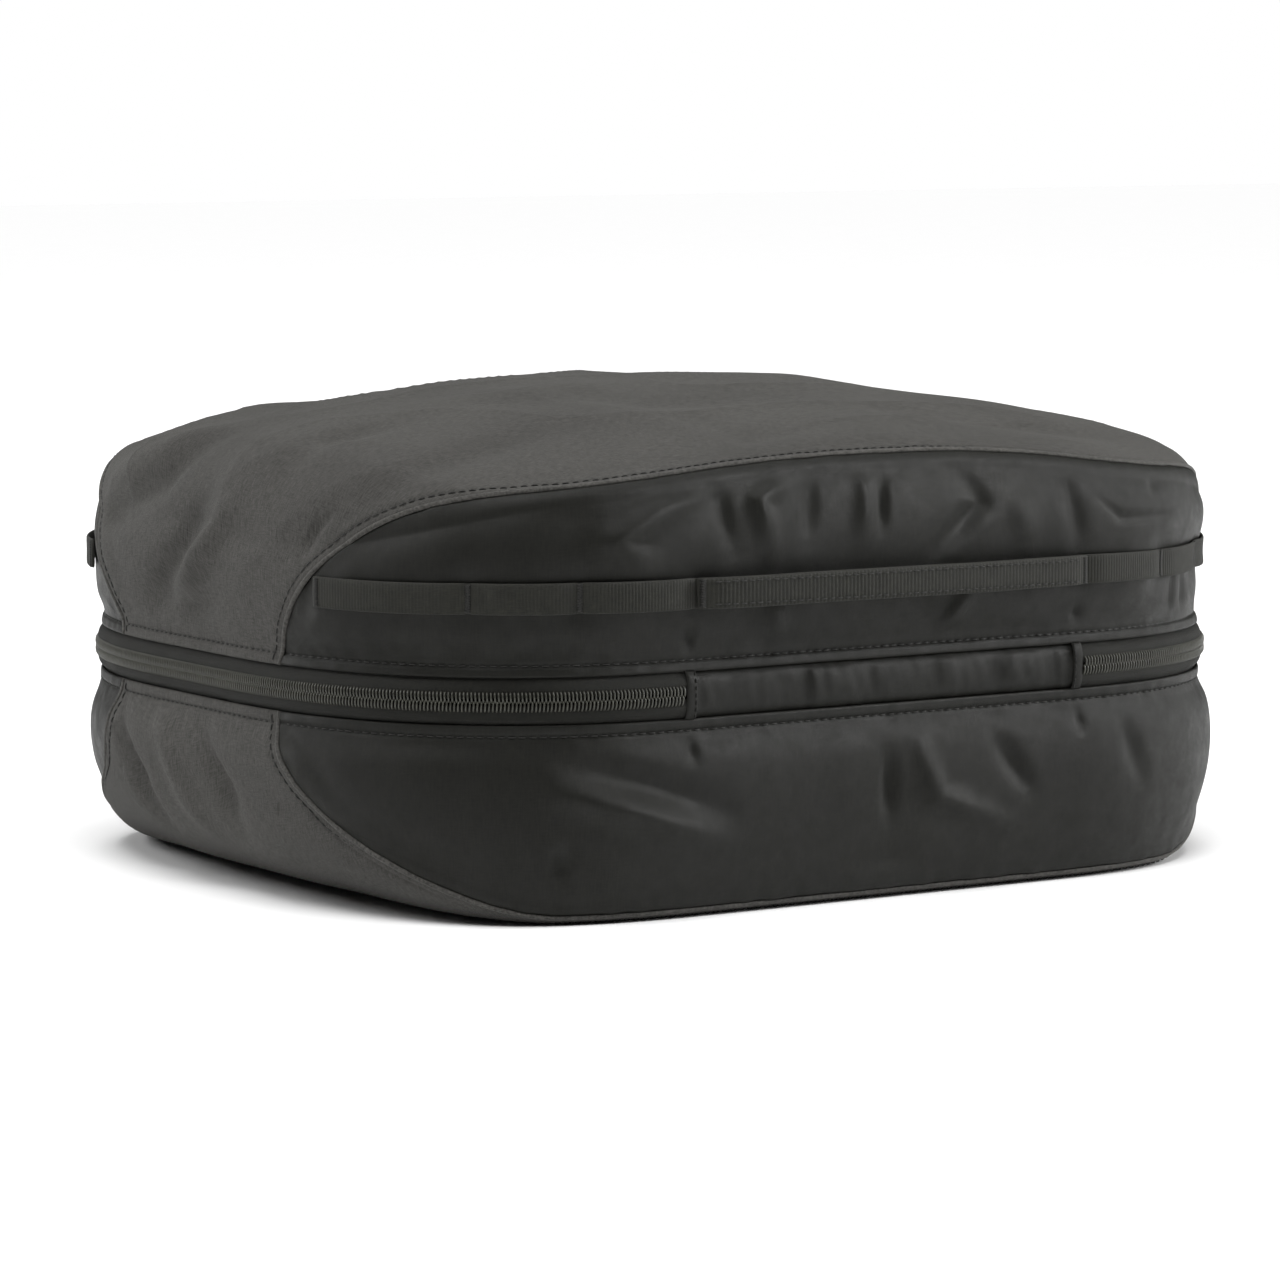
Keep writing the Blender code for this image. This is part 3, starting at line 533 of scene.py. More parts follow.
def sweep(path, side, up, radius, sides=6, squash=1.0):
    """Tubes along many short paths at once: path is (n, m, 3), side and up are (n, m, 3) frames."""
    n, m, _ = path.shape
    turn = np.arange(sides) * 2 * math.pi / sides
    ring = side[:, :, None, :] * np.cos(turn)[None, None, :, None]
    ring = ring + up[:, :, None, :] * np.sin(turn)[None, None, :, None] * squash
    size = np.broadcast_to(radius, (n, m))[:, :, None, None]
    points = (path[:, :, None, :] + ring * size).reshape(-1, 3)
    k = np.arange(m - 1)[:, None]
    a = np.arange(sides)[None, :]
    b = (a + 1) % sides
    quads = np.stack([k * sides + a, k * sides + b, (k + 1) * sides + b, (k + 1) * sides + a], -1)
    quads = quads.reshape(-1, 4)
    start = (np.arange(n) * m * sides)[:, None, None]
    faces = (quads[None] + start).reshape(-1, 4).tolist()
    for i in range(n):
        first = i * m * sides
        faces.append(list(range(first + sides - 1, first - 1, -1)))
        last = first + (m - 1) * sides
        faces.append(list(range(last, last + sides)))
    return points, faces


def add_tubes(name, path, side, up, radius, sides=6, squash=1.0):
    """Link the tubes of a sweep as one mesh."""
    return add_mesh(name, *sweep(path, side, up, radius, sides, squash))


STITCH_SHARES = np.array([-0.5, -0.42, -0.22, 0.0, 0.22, 0.42, 0.5])   # places along one stitch
STITCH_LIFTS = np.array([-0.9, 0.1, 0.75, 0.9, 0.75, 0.1, -0.9])       # in thread radii
STITCH_SIZES = np.array([0.6, 0.85, 1.0, 1.0, 1.0, 0.85, 0.6])
STITCH_TILT = 0.10


def stitches(name, points, normals, pitch=STITCH_PITCH, length=STITCH_LENGTH, thread=THREAD):
    """A run of thread stitches lying on a surface: each dives into the fabric at both ends."""
    distance = run_length(points)
    count = max(int(round(distance[-1] / pitch)), 1)
    at = (np.arange(count) + 0.5) * distance[-1] / count
    spot, tangent = resample(points, distance, at)
    up = unit(take(normals, distance, at))
    side = unit(np.cross(tangent, up))
    tilt = STITCH_TILT * noise(np.arange(count) * 0.7, 0.3, 0.0, 5)[:, None]
    direction = unit(tangent + side * tilt)
    path = spot[:, None] + direction[:, None] * (STITCH_SHARES * length)[None, :, None]
    path = path + up[:, None] * (STITCH_LIFTS * thread)[None, :, None]
    radius = thread * STITCH_SIZES[None, :]
    sides = np.broadcast_to(side[:, None], path.shape)
    ups = np.broadcast_to(up[:, None], path.shape)
    return add_tubes(name, path, sides, ups, radius, 5)


# ------------------------------------------------------------------ fabric relief
def crease(points, shell, path, width, height):
    """Height of one fold at points: along a path of (s, h), fading out towards its ends."""
    place = np.array(path, float)
    line = shell.surface(place[:, 0], place[:, 1])
    step = np.linalg.norm(np.diff(line, axis=0), axis=1)
    run = np.concatenate([[0.0], np.cumsum(step)]) / step.sum()
    near = np.full(len(points), 9.0)
    along = np.zeros(len(points))
    for k in range(len(line) - 1):
        edge = line[k + 1] - line[k]
        t = np.clip((points - line[k]) @ edge / (edge @ edge), 0.0, 1.0)
        gap = np.linalg.norm(points - line[k] - t[:, None] * edge, axis=1)
        closer = gap < near
        near = np.where(closer, gap, near)
        along = np.where(closer, run[k] + t * (run[k + 1] - run[k]), along)
    fade = np.sin(math.pi * (0.12 + 0.76 * along)) ** 1.2
    return height * np.exp(-(near / width) ** 2.0) * fade


def roll(distance, radius):
    """How far a rounded edge falls back at a distance from the edge."""
    near = np.clip(1.0 - distance / radius, 0.0, 1.0)
    return -radius * (1.0 - np.sqrt(1.0 - near * near))


def stitch_groove(distance, place):
    """The dent that a row of stitches draws into the cloth."""
    return -GROOVE_DEPTH * np.exp(-((distance - place) / GROOVE_WIDTH) ** 2)


def hem_relief(s, h, seed):
    """The folded edge beside the zip: a roll, a slightly raised hem and the stitched groove."""
    raised = 0.0004 * (1.0 - ramp(h, HEM_WIDTH - 0.001, HEM_WIDTH))
    pucker = 0.00032 * noise(s / 0.0042, h / 0.006, 0.0, seed) * np.exp(-np.abs(h - HEM_WIDTH) / 0.0035)
    return raised + pucker + roll(h, 0.0008) + stitch_groove(h, HEM_WIDTH)


# ------------------------------------------------------------------ cloth simulation
def settle(points, quads, pinned):
    """Let a sheet of slightly too much fabric buckle inside its pinned border; returns its points."""
    sheet = add_mesh("settling", points, quads)
    group = sheet.vertex_groups.new(name="sewn")
    for index in np.flatnonzero(pinned > 0).tolist():
        group.add([index], float(pinned[index]), "REPLACE")
    set_cloth(sheet.modifiers.new("cloth", "CLOTH"))
    scene = bpy.context.scene
    for step in range(1, CLOTH_FRAMES + 1):
        scene.frame_set(step)
    evaluated = sheet.evaluated_get(bpy.context.evaluated_depsgraph_get())
    settled = np.zeros(len(points) * 3, np.float32)
    evaluated.data.vertices.foreach_get("co", settled)
    bpy.data.objects.remove(sheet)
    scene.frame_set(1)
    return settled.reshape(-1, 3).astype(float)


def set_cloth(cloth):
    """Light, rather stiff fabric with no gravity, blown up a little by the contents."""
    settings = cloth.settings
    settings.quality = 8
    settings.mass = 0.05
    settings.air_damping = 1.0
    settings.tension_stiffness = CLOTH_STIFFNESS
    settings.compression_stiffness = CLOTH_STIFFNESS
    settings.shear_stiffness = CLOTH_STIFFNESS * 0.5
    settings.bending_stiffness = 0.05
    settings.vertex_group_mass = "sewn"
    settings.pin_stiffness = 1.0
    settings.shrink_min = -CLOTH_GROWTH
    settings.shrink_max = -CLOTH_GROWTH
    settings.use_pressure = True
    settings.uniform_pressure_force = CLOTH_PRESSURE
    settings.effector_weights.gravity = 0.0
    cloth.collision_settings.use_collision = False
    cloth.point_cache.frame_start = 1
    cloth.point_cache.frame_end = CLOTH_FRAMES


# ------------------------------------------------------------------ fabric panels
class Cloth:
    """A grid of fabric: s of each column, h of each row in it, final points and normals."""

    def __init__(self, shell, middle, s, h, closed=False):
        self.shell = shell
        self.middle = middle
        self.s = s
        self.h = h
        self.closed = closed
        self.columns, self.rows = h.shape
        self.flat_s = np.repeat(s, self.rows)
        self.flat_h = h.ravel()
        self.smooth = shell.surface(middle + self.flat_s, self.flat_h)
        self.normals = shell.normal(middle + self.flat_s, self.flat_h)
        self.points = self.smooth.copy()

    def raise_by(self, relief):
        """Move the smooth points along their normals."""
        self.points = self.smooth + self.normals * relief[:, None]

    def at(self, s, h):
        """Final points and normals at (s, h), by interpolation in the grid."""
        points = self.points.reshape(self.columns, self.rows, 3)
        normals = self.normals.reshape(self.columns, self.rows, 3)
        s, h = np.asarray(s, float), np.asarray(h, float)
        column = np.interp(s, self.s, np.arange(self.columns))
        left = np.minimum(column.astype(int), self.columns - 2)
        share = (column - left)[:, None]
        sides = [self.in_column(points, normals, left + k, h) for k in (0, 1)]
        spot = sides[0][0] * (1 - share) + sides[1][0] * share
        return spot, unit(sides[0][1] * (1 - share) + sides[1][1] * share)

    def in_column(self, points, normals, column, h):
        """Points and normals at h in one column for each h."""
        rise = self.h[column]
        row = np.clip((rise <= h[:, None]).sum(1) - 1, 0, self.rows - 2)
        index = np.arange(len(h))
        low, high = rise[index, row], rise[index, row + 1]
        t = np.clip((h - low) / np.maximum(high - low, 1e-9), 0.0, 1.0)[:, None]
        spot = points[column, row] * (1 - t) + points[column, row + 1] * t
        return spot, normals[column, row] * (1 - t) + normals[column, row + 1] * t

    def make(self, name, uv):
        """The finished mesh, with its thickness inwards."""
        quads = grid_quads(self.columns, self.rows, self.closed, self.shell.sign < 0)
        return thicken(add_mesh(name, self.points, quads, uv), FABRIC)


# Distances of a panel's first rows from its cut edge: the roll, the hem and its stitch line lie there.
EDGE_STEPS = np.array([0.0, 0.0001, 0.00025, 0.0005, 0.0009, 0.0015, 0.0022, 0.0029, 0.0034, 0.0038,
                       0.0042, 0.0048, 0.0056])


def graded_rows(total, count):
    """Rows from 0 to total, close together at the first edge; total holds one value a column."""
    steps = np.linspace(EDGE_STEPS[-1], 1.0, count + 1)[1:]
    share = (steps - EDGE_STEPS[-1]) / (1.0 - EDGE_STEPS[-1])
    squeeze = np.minimum(total / (2.5 * EDGE_STEPS[-1]), 1.0)[:, None]
    near = EDGE_STEPS[None, :] * squeeze
    far = near[:, -1:] + (total[:, None] - near[:, -1:]) * share[None, :]
    return np.concatenate([near, far], 1)


TOP_SHARE = 0.55             # share of a side panel's columns along its straight top edge
CORNER_SHARE = 0.45
LAST_TURN = 1.54             # the columns end just short of the seam's feet


def side_columns(count):
    """s of a side panel's columns, closer together towards its feet."""
    turn = np.linspace(-1.0, 1.0, count)
    bend = np.clip((np.abs(turn) - TOP_SHARE) / CORNER_SHARE, 0.0, 1.0) * LAST_TURN
    corner = SEAM_TOP_S + (SEAM_FOOT_S - SEAM_TOP_S) * np.sin(bend)
    flat = np.abs(turn) / TOP_SHARE * SEAM_TOP_S
    return np.sign(turn) * np.where(np.abs(turn) < TOP_SHARE, flat, corner)


def add_folds(points, shell, middle, folds):
    """Sum of listed folds, each (path in millimetres of s and h, width mm, height mm)."""
    total = np.zeros(len(points))
    for path, width, height in folds:
        place = [(middle + s / 1000.0, h / 1000.0) for s, h in path]
        total += FOLD_GAIN * crease(points, shell, place, width / 1000.0, height / 1000.0)
    return total


def buckle(shell, middle, folds, seed):
    """Simulated wrinkles of a side panel on a coarse grid: columns, row shares and offsets."""
    s = side_columns(COARSE_COLUMNS)
    share = np.linspace(0.0, 1.0, COARSE_ROWS)
    height = seam_height(shell, s, -SEAM_GAP)
    h = height[:, None] * share[None, :]
    flat_s, flat_h = np.repeat(s, len(share)), h.ravel()
    smooth = shell.surface(middle + flat_s, flat_h)
    normals = shell.normal(middle + flat_s, flat_h)
    border = np.minimum(seam_distance(shell, flat_s, flat_h), flat_h)
    start = 0.5 * add_folds(smooth, shell, middle, folds)
    start += 0.0005 * noise(flat_s / 0.017, flat_h / 0.05, 0.0, seed)
    start = smooth + normals * (start * ramp(border, 0.003, 0.012))[:, None]
    quads = grid_quads(len(s), len(share), False, shell.sign < 0)
    settled = settle(start, quads, np.where(border < PINNED_BORDER, 1.0, 0.0))
    offset = ((settled - smooth) * normals).sum(1)
    offset = MOST_BUCKLE * np.tanh(offset / MOST_BUCKLE)
    return s, share, offset.reshape(len(s), len(share))


def cubic_take(table, at):
    """Rows of a table at fractional positions, by Catmull-Rom interpolation."""
    last = len(table) - 1
    low = np.clip(np.floor(at).astype(int), 0, last - 1)
    t = (at - low)[:, None]
    p = [table[np.clip(low + k, 0, last)] for k in (-1, 0, 1, 2)]
    return 0.5 * (2 * p[1] + (p[2] - p[0]) * t + (2 * p[0] - 5 * p[1] + 4 * p[2] - p[3]) * t ** 2
                  + (3 * p[1] - p[0] - 3 * p[2] + p[3]) * t ** 3)


def side_cloth(shell, front, folds, seed):
    """A side panel's cloth with its hems, puckers, listed folds and simulated wrinkles."""
    middle = middle_of(front)
    s = side_columns(420)
    height = seam_height(shell, s, -SEAM_GAP)
    cloth = Cloth(shell, middle, s, graded_rows(height, 66))
    flat_s, flat_h = cloth.flat_s, cloth.flat_h
    seam = seam_distance(shell, flat_s, flat_h)
    inner = ramp(np.minimum(seam, flat_h), 0.0035, 0.0120)
    relief = hem_relief(flat_s, flat_h, seed) + roll(seam, 0.0012)
    relief += 0.0003 * noise(flat_s / 0.005, flat_h / 0.02, 0.0, seed + 1) * np.exp(-seam / 0.005)
    relief += wrinkles(cloth, middle, folds, seed) * inner
    if shell is LID:
        relief -= strap_press(cloth)
    cloth.raise_by(relief)
    return cloth


def wrinkles(cloth, middle, folds, seed):
    """Offsets of a side panel: listed folds, unevenness and, in full, simulated buckles."""
    placed = add_folds(cloth.smooth, cloth.shell, middle, folds)
    fine = 0.00022 * noise(cloth.flat_s / 0.009, cloth.flat_h / 0.03, 0.0, seed + 2)
    broad = 0.0009 * noise(cloth.flat_s / 0.05, cloth.flat_h / 0.035, 0.0, seed + 3)
    buckles = spread(cloth, *buckle(cloth.shell, middle, folds, seed))
    return PLACED_SHARE * placed + fine + broad + buckles


def spread(cloth, coarse_s, coarse_share, offset):
    """Offsets on a coarse grid, brought smoothly to the points of a finer cloth."""
    share = cloth.h / np.maximum(cloth.h[:, -1:], 1e-9)
    columns = cubic_take(offset, np.interp(cloth.s, coarse_s, np.arange(len(coarse_s))))
    rows = np.interp(share, coarse_share, np.arange(len(coarse_share)))
    low = np.clip(rows.astype(int), 0, len(coarse_share) - 2)
    index = np.arange(cloth.columns)[:, None]
    part = rows - low
    part = part * part * (3 - 2 * part) * 0.5 + part * 0.5
    return (columns[index, low] * (1 - part) + columns[index, low + 1] * part).ravel()


def strap_press(cloth):
    """How far the webbing holds the wall in: most at the bartacks."""
    rise = cloth.smooth[:, 2] - ZIP_LEVEL - WEBBING_RISE
    band = np.exp(-(rise / PRESS_HALF_HEIGHT) ** 2)
    tacks = sum(np.exp(-((np.abs(cloth.flat_s) - b) / PRESS_HALF_LENGTH) ** 2) for b in BARTACKS)
    return band * (STRAP_PRESS + TACK_PRESS * tacks)


# ------------------------------------------------------------------ listed folds
# Each fold is a path of (s, h) in millimetres, its half width and its height in millimetres.
ZIP_END_CREASES = [([(-77, 1), (-77, 14)], 1.8, -1.1), ([(77, 1), (77, 14)], 1.8, -1.1)]
LID_BACK_FOLDS = ZIP_END_CREASES + [
    ([(-74, 60), (-105, 44), (-94, 34)], 5.0, 1.7),
    ([(-68, 62), (-66, 49), (-63, 39)], 3.5, -1.1),
    ([(-40, 64), (-52, 54), (-47, 35)], 4.0, 1.5),
    ([(-47, 23), (-44, 10)], 3.5, 1.2),
    ([(-32, 62), (-35, 41)], 3.5, -1.1),
    ([(-11, 62), (-13, 40)], 3.0, 1.1),
    ([(-3, 62), (-6, 43)], 2.0, -1.0),
    ([(28, 61), (35, 50), (18, 36)], 4.0, -1.4),
    ([(32, 21), (21, 7)], 3.0, 1.1),
    ([(51, 54), (52, 36)], 5.0, 1.1),
    ([(70, 59), (75, 35)], 4.0, -1.1),
    ([(84, 50), (93, 43), (119, 43)], 1.6, -0.8),
    ([(114, 60), (110, 52)], 2.5, -0.9),
    ([(128, 6), (131, 26)], 1.6, -0.9),
    ([(139, 4), (141, 24)], 1.8, -1.0),
]
BASE_BACK_FOLDS = ZIP_END_CREASES + [
    ([(-123, 22), (-95, 30), (-68, 40)], 5.0, 2.0),
    ([(-120, 13), (-92, 21), (-64, 31)], 5.0, -1.4),
    ([(-122, 40), (-122, 49)], 2.0, -0.9),
    ([(-1, 16), (-1, 38)], 3.0, -1.3),
    ([(42, 14), (56, 33)], 4.0, -1.3),
    ([(11, 14), (18, 32), (46, 43)], 4.0, 1.4),
    ([(96, 12), (104, 34)], 4.0, -1.0),
]
LID_FRONT_FOLDS = [
    ([(-80, 60), (-96, 46), (-88, 33)], 5.0, 1.5),
    ([(-30, 63), (-38, 48), (-33, 36)], 3.5, -1.2),
    ([(14, 62), (18, 40)], 3.5, 1.2),
    ([(44, 60), (54, 47), (48, 36)], 4.0, -1.2),
    ([(92, 58), (84, 40)], 4.5, 1.3),
    ([(-12, 24), (-6, 8)], 3.0, 1.0),
]
BASE_FRONT_FOLDS = [
    ([(118, 20), (86, 30), (58, 40)], 5.0, 1.8),
    ([(-24, 14), (-20, 38)], 3.5, -1.2),
    ([(-70, 16), (-86, 36)], 4.0, 1.2),
    ([(30, 12), (24, 36)], 3.5, -1.1),
]
LID_COVER_FOLDS = [
    ([(-359, 40), (-311, 56), (-296, 75)], 7.0, -2.2),
    ([(-310, 15), (-289, 33), (-276, 51)], 6.0, -2.0),
    ([(-292, 18), (-270, 36), (-258, 52)], 5.0, 1.8),
    ([(-352, 52), (-322, 66), (-304, 86)], 8.0, 1.4),
    ([(-339, 96), (-390, 122)], 9.0, 0.5),
    ([(-235, 66), (-241, 88), (-225, 111)], 7.0, -1.2),
    ([(-214, 36), (-210, 46), (-204, 53)], 2.5, -0.9),
    ([(-203, 41), (-198, 50)], 2.2, -0.8),
    ([(-185, 57), (-165, 90), (-137, 119)], 9.0, -1.1),
    ([(-71, 128), (-46, 93), (-2, 103)], 9.0, -1.1),
    ([(-179, 177), (-90, 160), (11, 148)], 12.0, -1.1),
    ([(60, 138), (95, 122), (146, 96)], 9.0, -1.0),
    ([(-242, 130), (-199, 162), (-175, 206)], 11.0, 1.2),
    ([(-318, 17), (-282, 14), (-253, 20)], 5.0, -1.0),
    ([(255, 14), (284, 30), (300, 52)], 6.0, -1.4),
    ([(240, 40), (262, 58), (290, 70)], 7.0, 1.4),
]
BASE_COVER_FOLDS = [
    ([(-338, 7), (-324, 34), (-311, 51)], 6.0, -2.1),
    ([(-276, 8), (-266, 27), (-256, 43)], 5.5, -1.9),
    ([(-300, 6), (-292, 30), (-280, 48)], 6.0, 1.4),
    ([(262, 10), (276, 30), (290, 46)], 6.0, -1.5),
    ([(318, 8), (306, 30)], 6.0, 1.3),
]


# ------------------------------------------------------------------ covers
COVER_REACH = 0.0004         # the rows stop this far from the crown's middle, where a fan closes
SLACK = 0.0017               # broad unevenness of the cover


def cover_columns():
    """s of a cover's columns right round the ring, closer together at the seams."""
    straight = np.linspace(0.0, SEAM_TOP_S, 40, endpoint=False)
    angle = np.linspace(math.pi / 2, 0.0, 60)
    turn = SEAM_TOP_S + (SEAM_FOOT_S + SEAM_GAP - SEAM_TOP_S) * np.cos(angle)
    end = np.linspace(SEAM_FOOT_S + SEAM_GAP, QUARTER, 36)[1:]
    quarter = np.concatenate([straight, turn, end])
    half = np.concatenate([quarter, PERIMETER / 2 - quarter[-2::-1]])
    return np.concatenate([half, PERIMETER - half[-2:0:-1]])


def cover_cloth(shell, folds, seed):
    """A cover's cloth, from its cut edge up the ends and over the crown."""
    s = cover_columns()
    start = seam_height(shell, fold_distance(s), SEAM_GAP)
    total = shell.reach(s) - COVER_REACH - start
    cloth = Cloth(shell, 0.0, s, start[:, None] + graded_rows(total, 84), True)
    flat_s, flat_h = cloth.flat_s, cloth.flat_h
    x, y, z = cloth.smooth.T
    seam = seam_distance(shell, fold_distance(flat_s), flat_h)
    mouth = np.where(fold_distance(flat_s) > SEAM_FOOT_S, flat_h, np.maximum(flat_h, seam))
    inner = ramp(np.minimum(seam, mouth), 0.003, 0.014)
    at_end = ramp(fold_distance(flat_s), SEAM_FOOT_S, SEAM_FOOT_S + 0.004)
    relief = hem_relief(flat_s, mouth, seed) * at_end
    relief += roll(seam, 0.0010) + stitch_groove(seam, FELL_WIDTH)
    relief += 0.00035 * noise(flat_s / 0.0048, flat_h / 0.02, 0.0, seed + 1) * np.exp(-seam / 0.005)
    broad = SLACK * noise(x / 0.075, y / 0.075, z / 0.05, seed + 2)
    broad += 0.45 * SLACK * noise(x / 0.03, y / 0.03, z / 0.03, seed + 3)
    end_ridges = ridges(x / 0.05 + y / 0.09, z / 0.05 + y / 0.06, seed + 4)
    broad += 0.35 * SLACK * end_ridges * ramp(np.abs(x), 0.12, 0.16)
    crown = ramp(z, 0.100, 0.130) * ramp(seam, 0.012, 0.040)
    broad += 0.6 * SLACK * ridges(x / 0.085 + y / 0.11, y / 0.030 - x / 0.20, seed + 5) * crown
    placed = COVER_FOLD_GAIN * add_folds(cloth.smooth, shell, 0.0, folds)
    relief += (placed + broad) * inner
    if shell is BASE:
        relief = np.where(z < 0.012, np.minimum(relief, 0.0) * ramp(z, -0.001, 0.012), relief)
    cloth.raise_by(relief)
    return cloth


def cover_uv(shell, points):
    """Fabric runs straight over the crown and down both ends."""
    x, y, z = points.T
    fall = (shell.rise - np.abs(z - ZIP_LEVEL)) * ramp(np.abs(x), 0.09, 0.15)
    return np.stack([y, x + np.sign(x) * fall], 1)


def make_cover(cloth, name):
    """The cover's mesh, closed over the crown by a fan of triangles."""
    last = np.arange(cloth.columns) * cloth.rows + cloth.rows - 1
    middle = cloth.points[last].mean(0)
    points = np.vstack([cloth.points, middle])
    quads = grid_quads(cloth.columns, cloth.rows, True, cloth.shell.sign < 0).tolist()
    after = np.roll(last, -1)
    fan = np.stack([last, after, np.full(len(last), len(points) - 1)], 1)
    fan = fan[:, ::-1] if cloth.shell.sign < 0 else fan
    made = add_mesh(name, points, quads + fan.tolist(), cover_uv(cloth.shell, points))
    return thicken(made, FABRIC)


def sag(points):
    """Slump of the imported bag: its right half sits lower, its bottom corners lift, and the wall behind
    the webbing tucks in at the right end of the hinge side and at the left end of the front."""
    x, y, z = points.T
    over = np.clip((z - ZIP_LEVEL) / 0.09, 0.0, 1.0)
    under = np.clip(1.0 - z / 0.030, 0.0, 1.0)
    strap = np.exp(-((z - ZIP_LEVEL - WEBBING_RISE) / TUCK_HALF_HEIGHT) ** 2)
    drop = RIGHT_SAG * over ** 1.5 * ramp(x, 0.01, 0.13)
    lift = LEFT_LIFT * under * ramp(-x, 0.120, 0.178) + RIGHT_LIFT * under * ramp(x, 0.120, 0.178)
    near = RIGHT_TUCK * (ramp(x, 0.09, 0.15) * ramp(-y, 0.06, 0.11)) * strap
    far = LEFT_TUCK * ramp(-x, 0.09, 0.15) * ramp(y, 0.06, 0.11) * strap
    along, across = TUCK_WAY
    x = x - along * near + along * far
    y = y + across * near - across * far
    return np.column_stack([x, y, z - drop + lift])


def strap_reach():
    """Distance from the middle of a long side to the end of the webbing, just short of the seam."""
    height = WEBBING_RISE + WEBBING_WIDTH / 2 - MOUTH
    seam = seam_place(LID, np.linspace(0.0, math.pi / 2, 90))
    return float(np.interp(height, seam[:, 1], seam[:, 0])) - STRAP_END_MARGIN


STRAP_REACH = strap_reach()


# ------------------------------------------------------------------ seams and stitch lines
def seam_runs(shell, front, offset):
    """(s, h) along one seam, s being measured from the hinge side's middle."""
    run = mirrored(seam_path(shell, offset, 320))
    return run + np.array([middle_of(front), 0.0])


def on_shell(shell, run, lift):
    """Points and normals along a run of (s, h), lifted off the smooth surface."""
    points = shell.surface(run[:, 0], run[:, 1])
    normals = shell.normal(run[:, 0], run[:, 1])
    return points + normals * lift, normals


def add_bead(name, shell, front, material):
    """The rolled edge of the cover along a seam, sunk between the two fabrics."""
    run = seam_runs(shell, front, 0.00025)
    points, normals = on_shell(shell, run, -0.00015)
    points = sag(points)
    distance = run_length(points)
    at = np.linspace(0.0, distance[-1], int(distance[-1] / BEAD_STEP))
    spot, tangent = resample(points, distance, at)
    up = unit(take(normals, distance, at))
    side = unit(np.cross(tangent, up))
    radius = BEAD_RADIUS * (1.0 + 0.10 * noise(at / 0.006, 0.5, 0.0, 11))
    made = add_tubes(name, spot[None], side[None], up[None], radius[None], 10, 0.85)
    node = f"{half_of(shell)}_{side_of(front)}_piping"
    return finish_piece(made, body_of(shell), "piping_fabric", material, node)


def cloth_line(cloth, run, lift):
    """Points and normals of a stitch line on a finished cloth."""
    points, normals = cloth.at(run[:, 0] % PERIMETER if cloth.closed else run[:, 0], run[:, 1])
    return sag(points + normals * lift), normals


def add_hem_stitches(name, cloth, span, body, material):
    """Topstitching beside a mouth edge, along s from span[0] to span[1]."""
    s = np.linspace(span[0], span[1], int((span[1] - span[0]) / 0.001))
    run = np.stack([s, np.full(len(s), HEM_WIDTH)], 1)
    points, normals = cloth_line(cloth, run, THREAD_LIFT)
    return finish_piece(stitches(name, points, normals), body, "webbing", material)


def add_fell_stitches(name, cloth, front, body, material):
    """Topstitching of the cover beside a seam."""
    run = seam_runs(cloth.shell, front, FELL_WIDTH)
    inside = run[:, 1] > 0.0005
    points, normals = cloth_line(cloth, run[inside], THREAD_LIFT)
    return finish_piece(stitches(name, points, normals), body, "webbing", material)


def add_binding(name, shell, front, material):
    """The bias tape folded over the raw seam allowance inside the bag."""
    run = seam_runs(shell, front, 0.0)[2:-2:2]
    points, normals = on_shell(shell, run, -BINDING_MIDDLE)
    points = sag(points)
    tangent = unit(np.gradient(points, axis=0))
    across = unit(np.cross(tangent, normals))
    wave = 0.0003 * noise(np.arange(len(points)) / 5.0, 0.2, 0.0, 17)[:, None]
    path = points + across * wave
    radius = np.full(len(path), BINDING_HALF_DEPTH)
    made = add_tubes(name, path[None], normals[None], across[None], radius[None], 14, 0.2)
    return finish_piece(made, body_of(shell), "binding", material, name)


# ------------------------------------------------------------------ zip
def ribbon_points(s, profile):
    """Points of a band along the ring, with (inset, rise) pairs at each s."""
    base = ring_position(s)
    normal = ring_normal(s)
    inset = profile[:, 0][None, :, None]
    plan = base[:, None, :] - inset * normal[:, None, :]
    z = np.broadcast_to(ZIP_LEVEL + profile[:, 1][None, :, None], plan.shape[:2] + (1,))
    return np.concatenate([plan, z], 2)


def smooth_profile(knots, count):
    """Evenly spread points on a curve through (inset, rise) knots."""
    knots = np.array(knots)
    t = np.linspace(0.0, len(knots) - 1, count)
    return cubic_take(knots, t)


def add_zip_tape(name, sign, material):
    """One side of the zip's tape: bulges outwards beside the coil and tucks in behind the hem."""
    rows = 18
    profile = smooth_profile(TAPE_KNOTS, rows)
    profile[:, 1] *= sign
    gap = 0.0004
    s = np.linspace(HINGE_HALF_SPAN + gap, PERIMETER - HINGE_HALF_SPAN - gap, 700)
    points = ribbon_points(s, profile)
    outward = outward_at(s)
    rise = np.abs(profile[:, 1])
    along, across = np.repeat(s[:, None], rows, 1), np.repeat(rise[None], len(s), 0)
    wave = 0.00025 * noise(along / 0.011, across / 0.004, 0.0, 21)
    points = points + outward[:, None, :] * (wave * ramp(rise, 0.002, 0.004))[:, :, None]
    quads = grid_quads(len(s), rows, False, sign < 0)
    made = add_mesh(name, sag(points.reshape(-1, 3)), quads, band_uv(s, rise))
    thicken(made, TAPE_THICKNESS)
    body = "lid" if sign > 0 else "base"
    return finish_piece(made, body, "zip_tape", material, name)


# One loop of a coil, from the zip's centre line outwards.
LOOP_REACH = np.array([-0.00005, 0.0005, 0.0013, 0.0022, 0.0029, 0.0030])
LOOP_LIFT = np.array([0.0004, 0.0009, 0.00105, 0.00095, 0.0005, -0.0002])
LOOP_LEAN = np.array([0.0, 0.0, 0.00005, 0.00012, 0.0002, 0.0002])
LOOP_RADIUS = np.array([0.00046, 0.00036, 0.00032, 0.00032, 0.00032, 0.0003])


